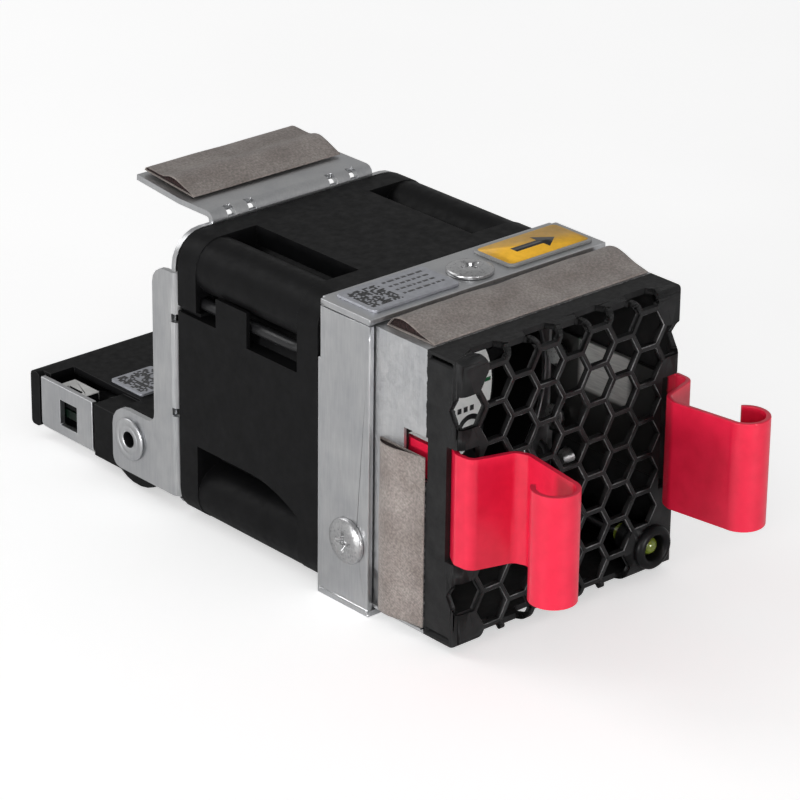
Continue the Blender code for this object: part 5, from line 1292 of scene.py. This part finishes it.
def ink(node, suffix, outlines, slot, made, proud=0.0):
    """Print on a label: thin closed slabs that stand a hair proud of its film."""
    top = box(node)[0].z + FILM_TOP
    bm = bmesh.new()
    for outline in outlines:
        prism(bm, outline, "Z", top - 2 * INK_LIFT, top + INK_LIFT + proud)
    obj = mesh_object(f"{node}_{suffix}", bm, made)
    return fit(obj, carrier_of(node), slot)


def random_cells(low, high, pitch, share):
    """Dots on a grid, some of them left out at random."""
    outlines = []
    columns = round((high[0] - low[0]) / pitch)
    rows = round((high[1] - low[1]) / pitch)
    for column in range(columns):
        for row in range(rows):
            if random.random() < share:
                x = low[0] + column * pitch
                y = low[1] + row * pitch
                outlines.append(rectangle((x, y), (x + pitch * 0.92, y + pitch * 0.92)))
    return outlines


def orientation_label():
    node = "orientation_label"
    low, high = box(node)
    label_film(node, "yellow_film", (CLEAR_RIM,), 1.0)
    ink(node, "ground", [rectangle((low.x + 0.45, low.y + 0.45), (high.x - 0.45, high.y - 0.45), 0.7)],
        "yellow_film", YELLOW)
    x, y = (low.x + high.x) / 2, (low.y + high.y) / 2
    arrow = [(x - 3.4, y - 0.65), (x + 1.2, y - 0.65), (x + 1.2, y - 1.9), (x + 3.8, y), (x + 1.2, y + 1.9),
             (x + 1.2, y + 0.65), (x - 3.4, y + 0.65)]
    ink(node, "arrow", [arrow], "yellow_film", INK, INK_LIFT)


def info_label():
    node = "info_label"
    low, high = box(node)
    label_film(node, "silver_film", (SILVER,), 0.6)
    ink(node, "dots", random_cells((low.x + 0.7, low.y + 1.0), (low.x + 5.9, high.y - 0.9), 0.3, 0.6),
        "silver_film", INK)
    outlines = []
    for line in range(4):
        x = low.x + 6.6
        y = high.y - 1.5 - line * 1.35
        while x < high.x - 1.2:
            length = random.uniform(0.4, 1.1)
            outlines.append(rectangle((x, y), (min(x + length, high.x - 0.8), y + 0.42)))
            x += length + 0.3
    ink(node, "print", outlines, "silver_film", GREY_INK)


def carrier_label():
    node = "carrier_label"
    low, high = box(node)
    label_film(node, "silver_film", (SILVER,), 0.5)
    ink(node, "print", random_cells((low.x + 0.5, low.y + 0.5), (high.x - 0.5, high.y - 0.5), 0.34, 0.55),
        "silver_film", INK)


def hub_label():
    low, high = box("hub_label")
    radius = (high.x - low.x) / 2
    bm = bmesh.new()
    revolve(bm, [(0.0, 0.0), (radius - 0.06, 0.0), (radius, 0.06), (radius, high.y - low.y),
                 (0.0, high.y - low.y)], (0.0, low.y, AXIS_Z), AXES["Y"], steps=96)
    obj = mesh_object("hub_label_finished", bm, WHITE_FILM)
    soften(obj, 0.0)
    fit(obj, "chassis", "paper", "hub_label")
    print_on_hub("hub_label_lines", GREEN_INK, [rectangle((2.0, AXIS_Z + rise), (reach, AXIS_Z + rise + 0.55))
                                                for rise, reach in ((0.3, 10.3), (6.3, 8.0))])
    bars = [rectangle((x, z), (x + 0.7, z + 0.75)) for z in (AXIS_Z - 3.1, AXIS_Z + 3.0)
            for x in (-8.0, -6.9, -5.8, -4.1, -3.0, -1.2, 0.4, 1.5, 3.4, 4.5, 5.6, 6.7)]
    mark = (6.8, AXIS_Z - 6.0)
    print_on_hub("hub_label_marks", INK, bars + [circle(mark, 2.4, 40)])
    print_on_hub("hub_label_disc", WHITE_FILM, [circle(mark, 1.65, 40)], 0.02)


def print_on_hub(name, made, outlines, proud=0.0):
    """Print on the hub label, which faces the front."""
    low = box("hub_label")[0]
    bm = bmesh.new()
    for outline in outlines:
        prism(bm, outline, "Y", low.y - INK_LIFT - proud, low.y + INK_LIFT)
    fit(mesh_object(name, bm, made), "chassis", "paper")


orientation_label()
info_label()
carrier_label()
hub_label()


# Surroundings, light and camera

def studio_world():
    world = bpy.data.worlds.new("studio")
    bpy.context.scene.world = world
    world.use_nodes = True
    tree = world.node_tree
    tree.nodes.clear()
    path = add(tree, "ShaderNodeLightPath")
    coords = add(tree, "ShaderNodeTexCoord").outputs["Generated"]
    height = add(tree, "ShaderNodeSeparateXYZ", Vector=coords).outputs["Z"]
    height = plus(tree, times(tree, height, 0.5), 0.5)
    sky = ramp(tree, height, (0.35, 0.7), (0.52, 0.46), (0.7, 0.4), (1.0, 0.3))
    soft = add(tree, "ShaderNodeBackground", Color=sky, Strength=1.0)
    white = add(tree, "ShaderNodeBackground", Color=(1.0, 1.0, 1.0, 1.0), Strength=1.0)
    mix = add(tree, "ShaderNodeMixShader", _0=path.outputs["Is Camera Ray"], _1=soft.outputs[0],
              _2=white.outputs[0])
    out = add(tree, "ShaderNodeOutputWorld")
    tree.links.new(mix.outputs[0], out.inputs["Surface"])


FLOOR_GLOW = 0.47


def floor():
    """A pale floor that shows white to the camera apart from the tray's soft shadow."""
    bm = bmesh.new()
    reach = 1500.0
    level = cad_bounds[0][2] * PER_MM - 0.02
    corners = rectangle((-reach, -reach), (reach, reach))
    bm.faces.new([bm.verts.new((x, y, level)) for x, y in corners])
    made, tree, shader = finish("pale_floor", Specular_IOR_Level=0.1)
    put(tree, shader, "Base Color", ramp(tree, noise(tree, 0.01), (0.3, 0.86), (0.7, 0.9)))
    shader.inputs["Roughness"].default_value = 0.8
    shader.inputs["Emission Color"].default_value = (1.0, 1.0, 1.0, 1.0)
    camera_ray = add(tree, "ShaderNodeLightPath").outputs["Is Camera Ray"]
    put(tree, shader, "Emission Strength", times(tree, camera_ray, FLOOR_GLOW))
    obj = mesh_object("floor", bm, made)


def area(name, place, size, power):
    data = bpy.data.lights.new(name, "AREA")
    data.shape = "DISK"
    data.size = size
    data.energy = power
    lamp = bpy.data.objects.new(name, data)
    lamp.location = place
    target = Vector((0.0, 0.015, 0.02))
    lamp.rotation_euler = (target - Vector(place)).to_track_quat("-Z", "Y").to_euler()
    bpy.context.scene.collection.objects.link(lamp)


def camera():
    azimuth, elevation, roll = (math.radians(angle) for angle in (VIEW_AZIMUTH, VIEW_ELEVATION, VIEW_ROLL))
    back = Vector((math.sin(azimuth) * math.cos(elevation), -math.cos(azimuth) * math.cos(elevation),
                   math.sin(elevation)))
    level = Vector((math.cos(azimuth), math.sin(azimuth), 0.0))
    rise = back.cross(level)
    right = level * math.cos(roll) + rise * math.sin(roll)
    up = rise * math.cos(roll) - level * math.sin(roll)
    place = right * VIEW_SLIDE[0] + up * VIEW_SLIDE[1] + back * VIEW_DISTANCE + Vector(VIEW_CENTRE)
    data = bpy.data.cameras.new("camera")
    data.lens = LENS
    data.sensor_width = SENSOR
    data.sensor_fit = "HORIZONTAL"
    data.clip_start = 0.01
    data.clip_end = 20.0
    turned = Matrix((right, up, back)).transposed().to_4x4()
    obj = bpy.data.objects.new("camera", data)
    obj.matrix_world = Matrix.Translation(place * MM) @ turned
    bpy.context.scene.collection.objects.link(obj)
    bpy.context.scene.camera = obj


studio_world()
floor()
area("side", (-0.75, -0.07, 0.06), 0.22, 3.3)
area("corner", (-0.46, -0.5, 0.3), 0.2, 0.8)
area("front", (-0.02, -0.6, 0.04), 0.12, 1.5)
area("back", (-0.3, 0.55, 0.5), 0.5, 1.2)
camera()

bpy.context.scene.view_settings.view_transform = "Standard"
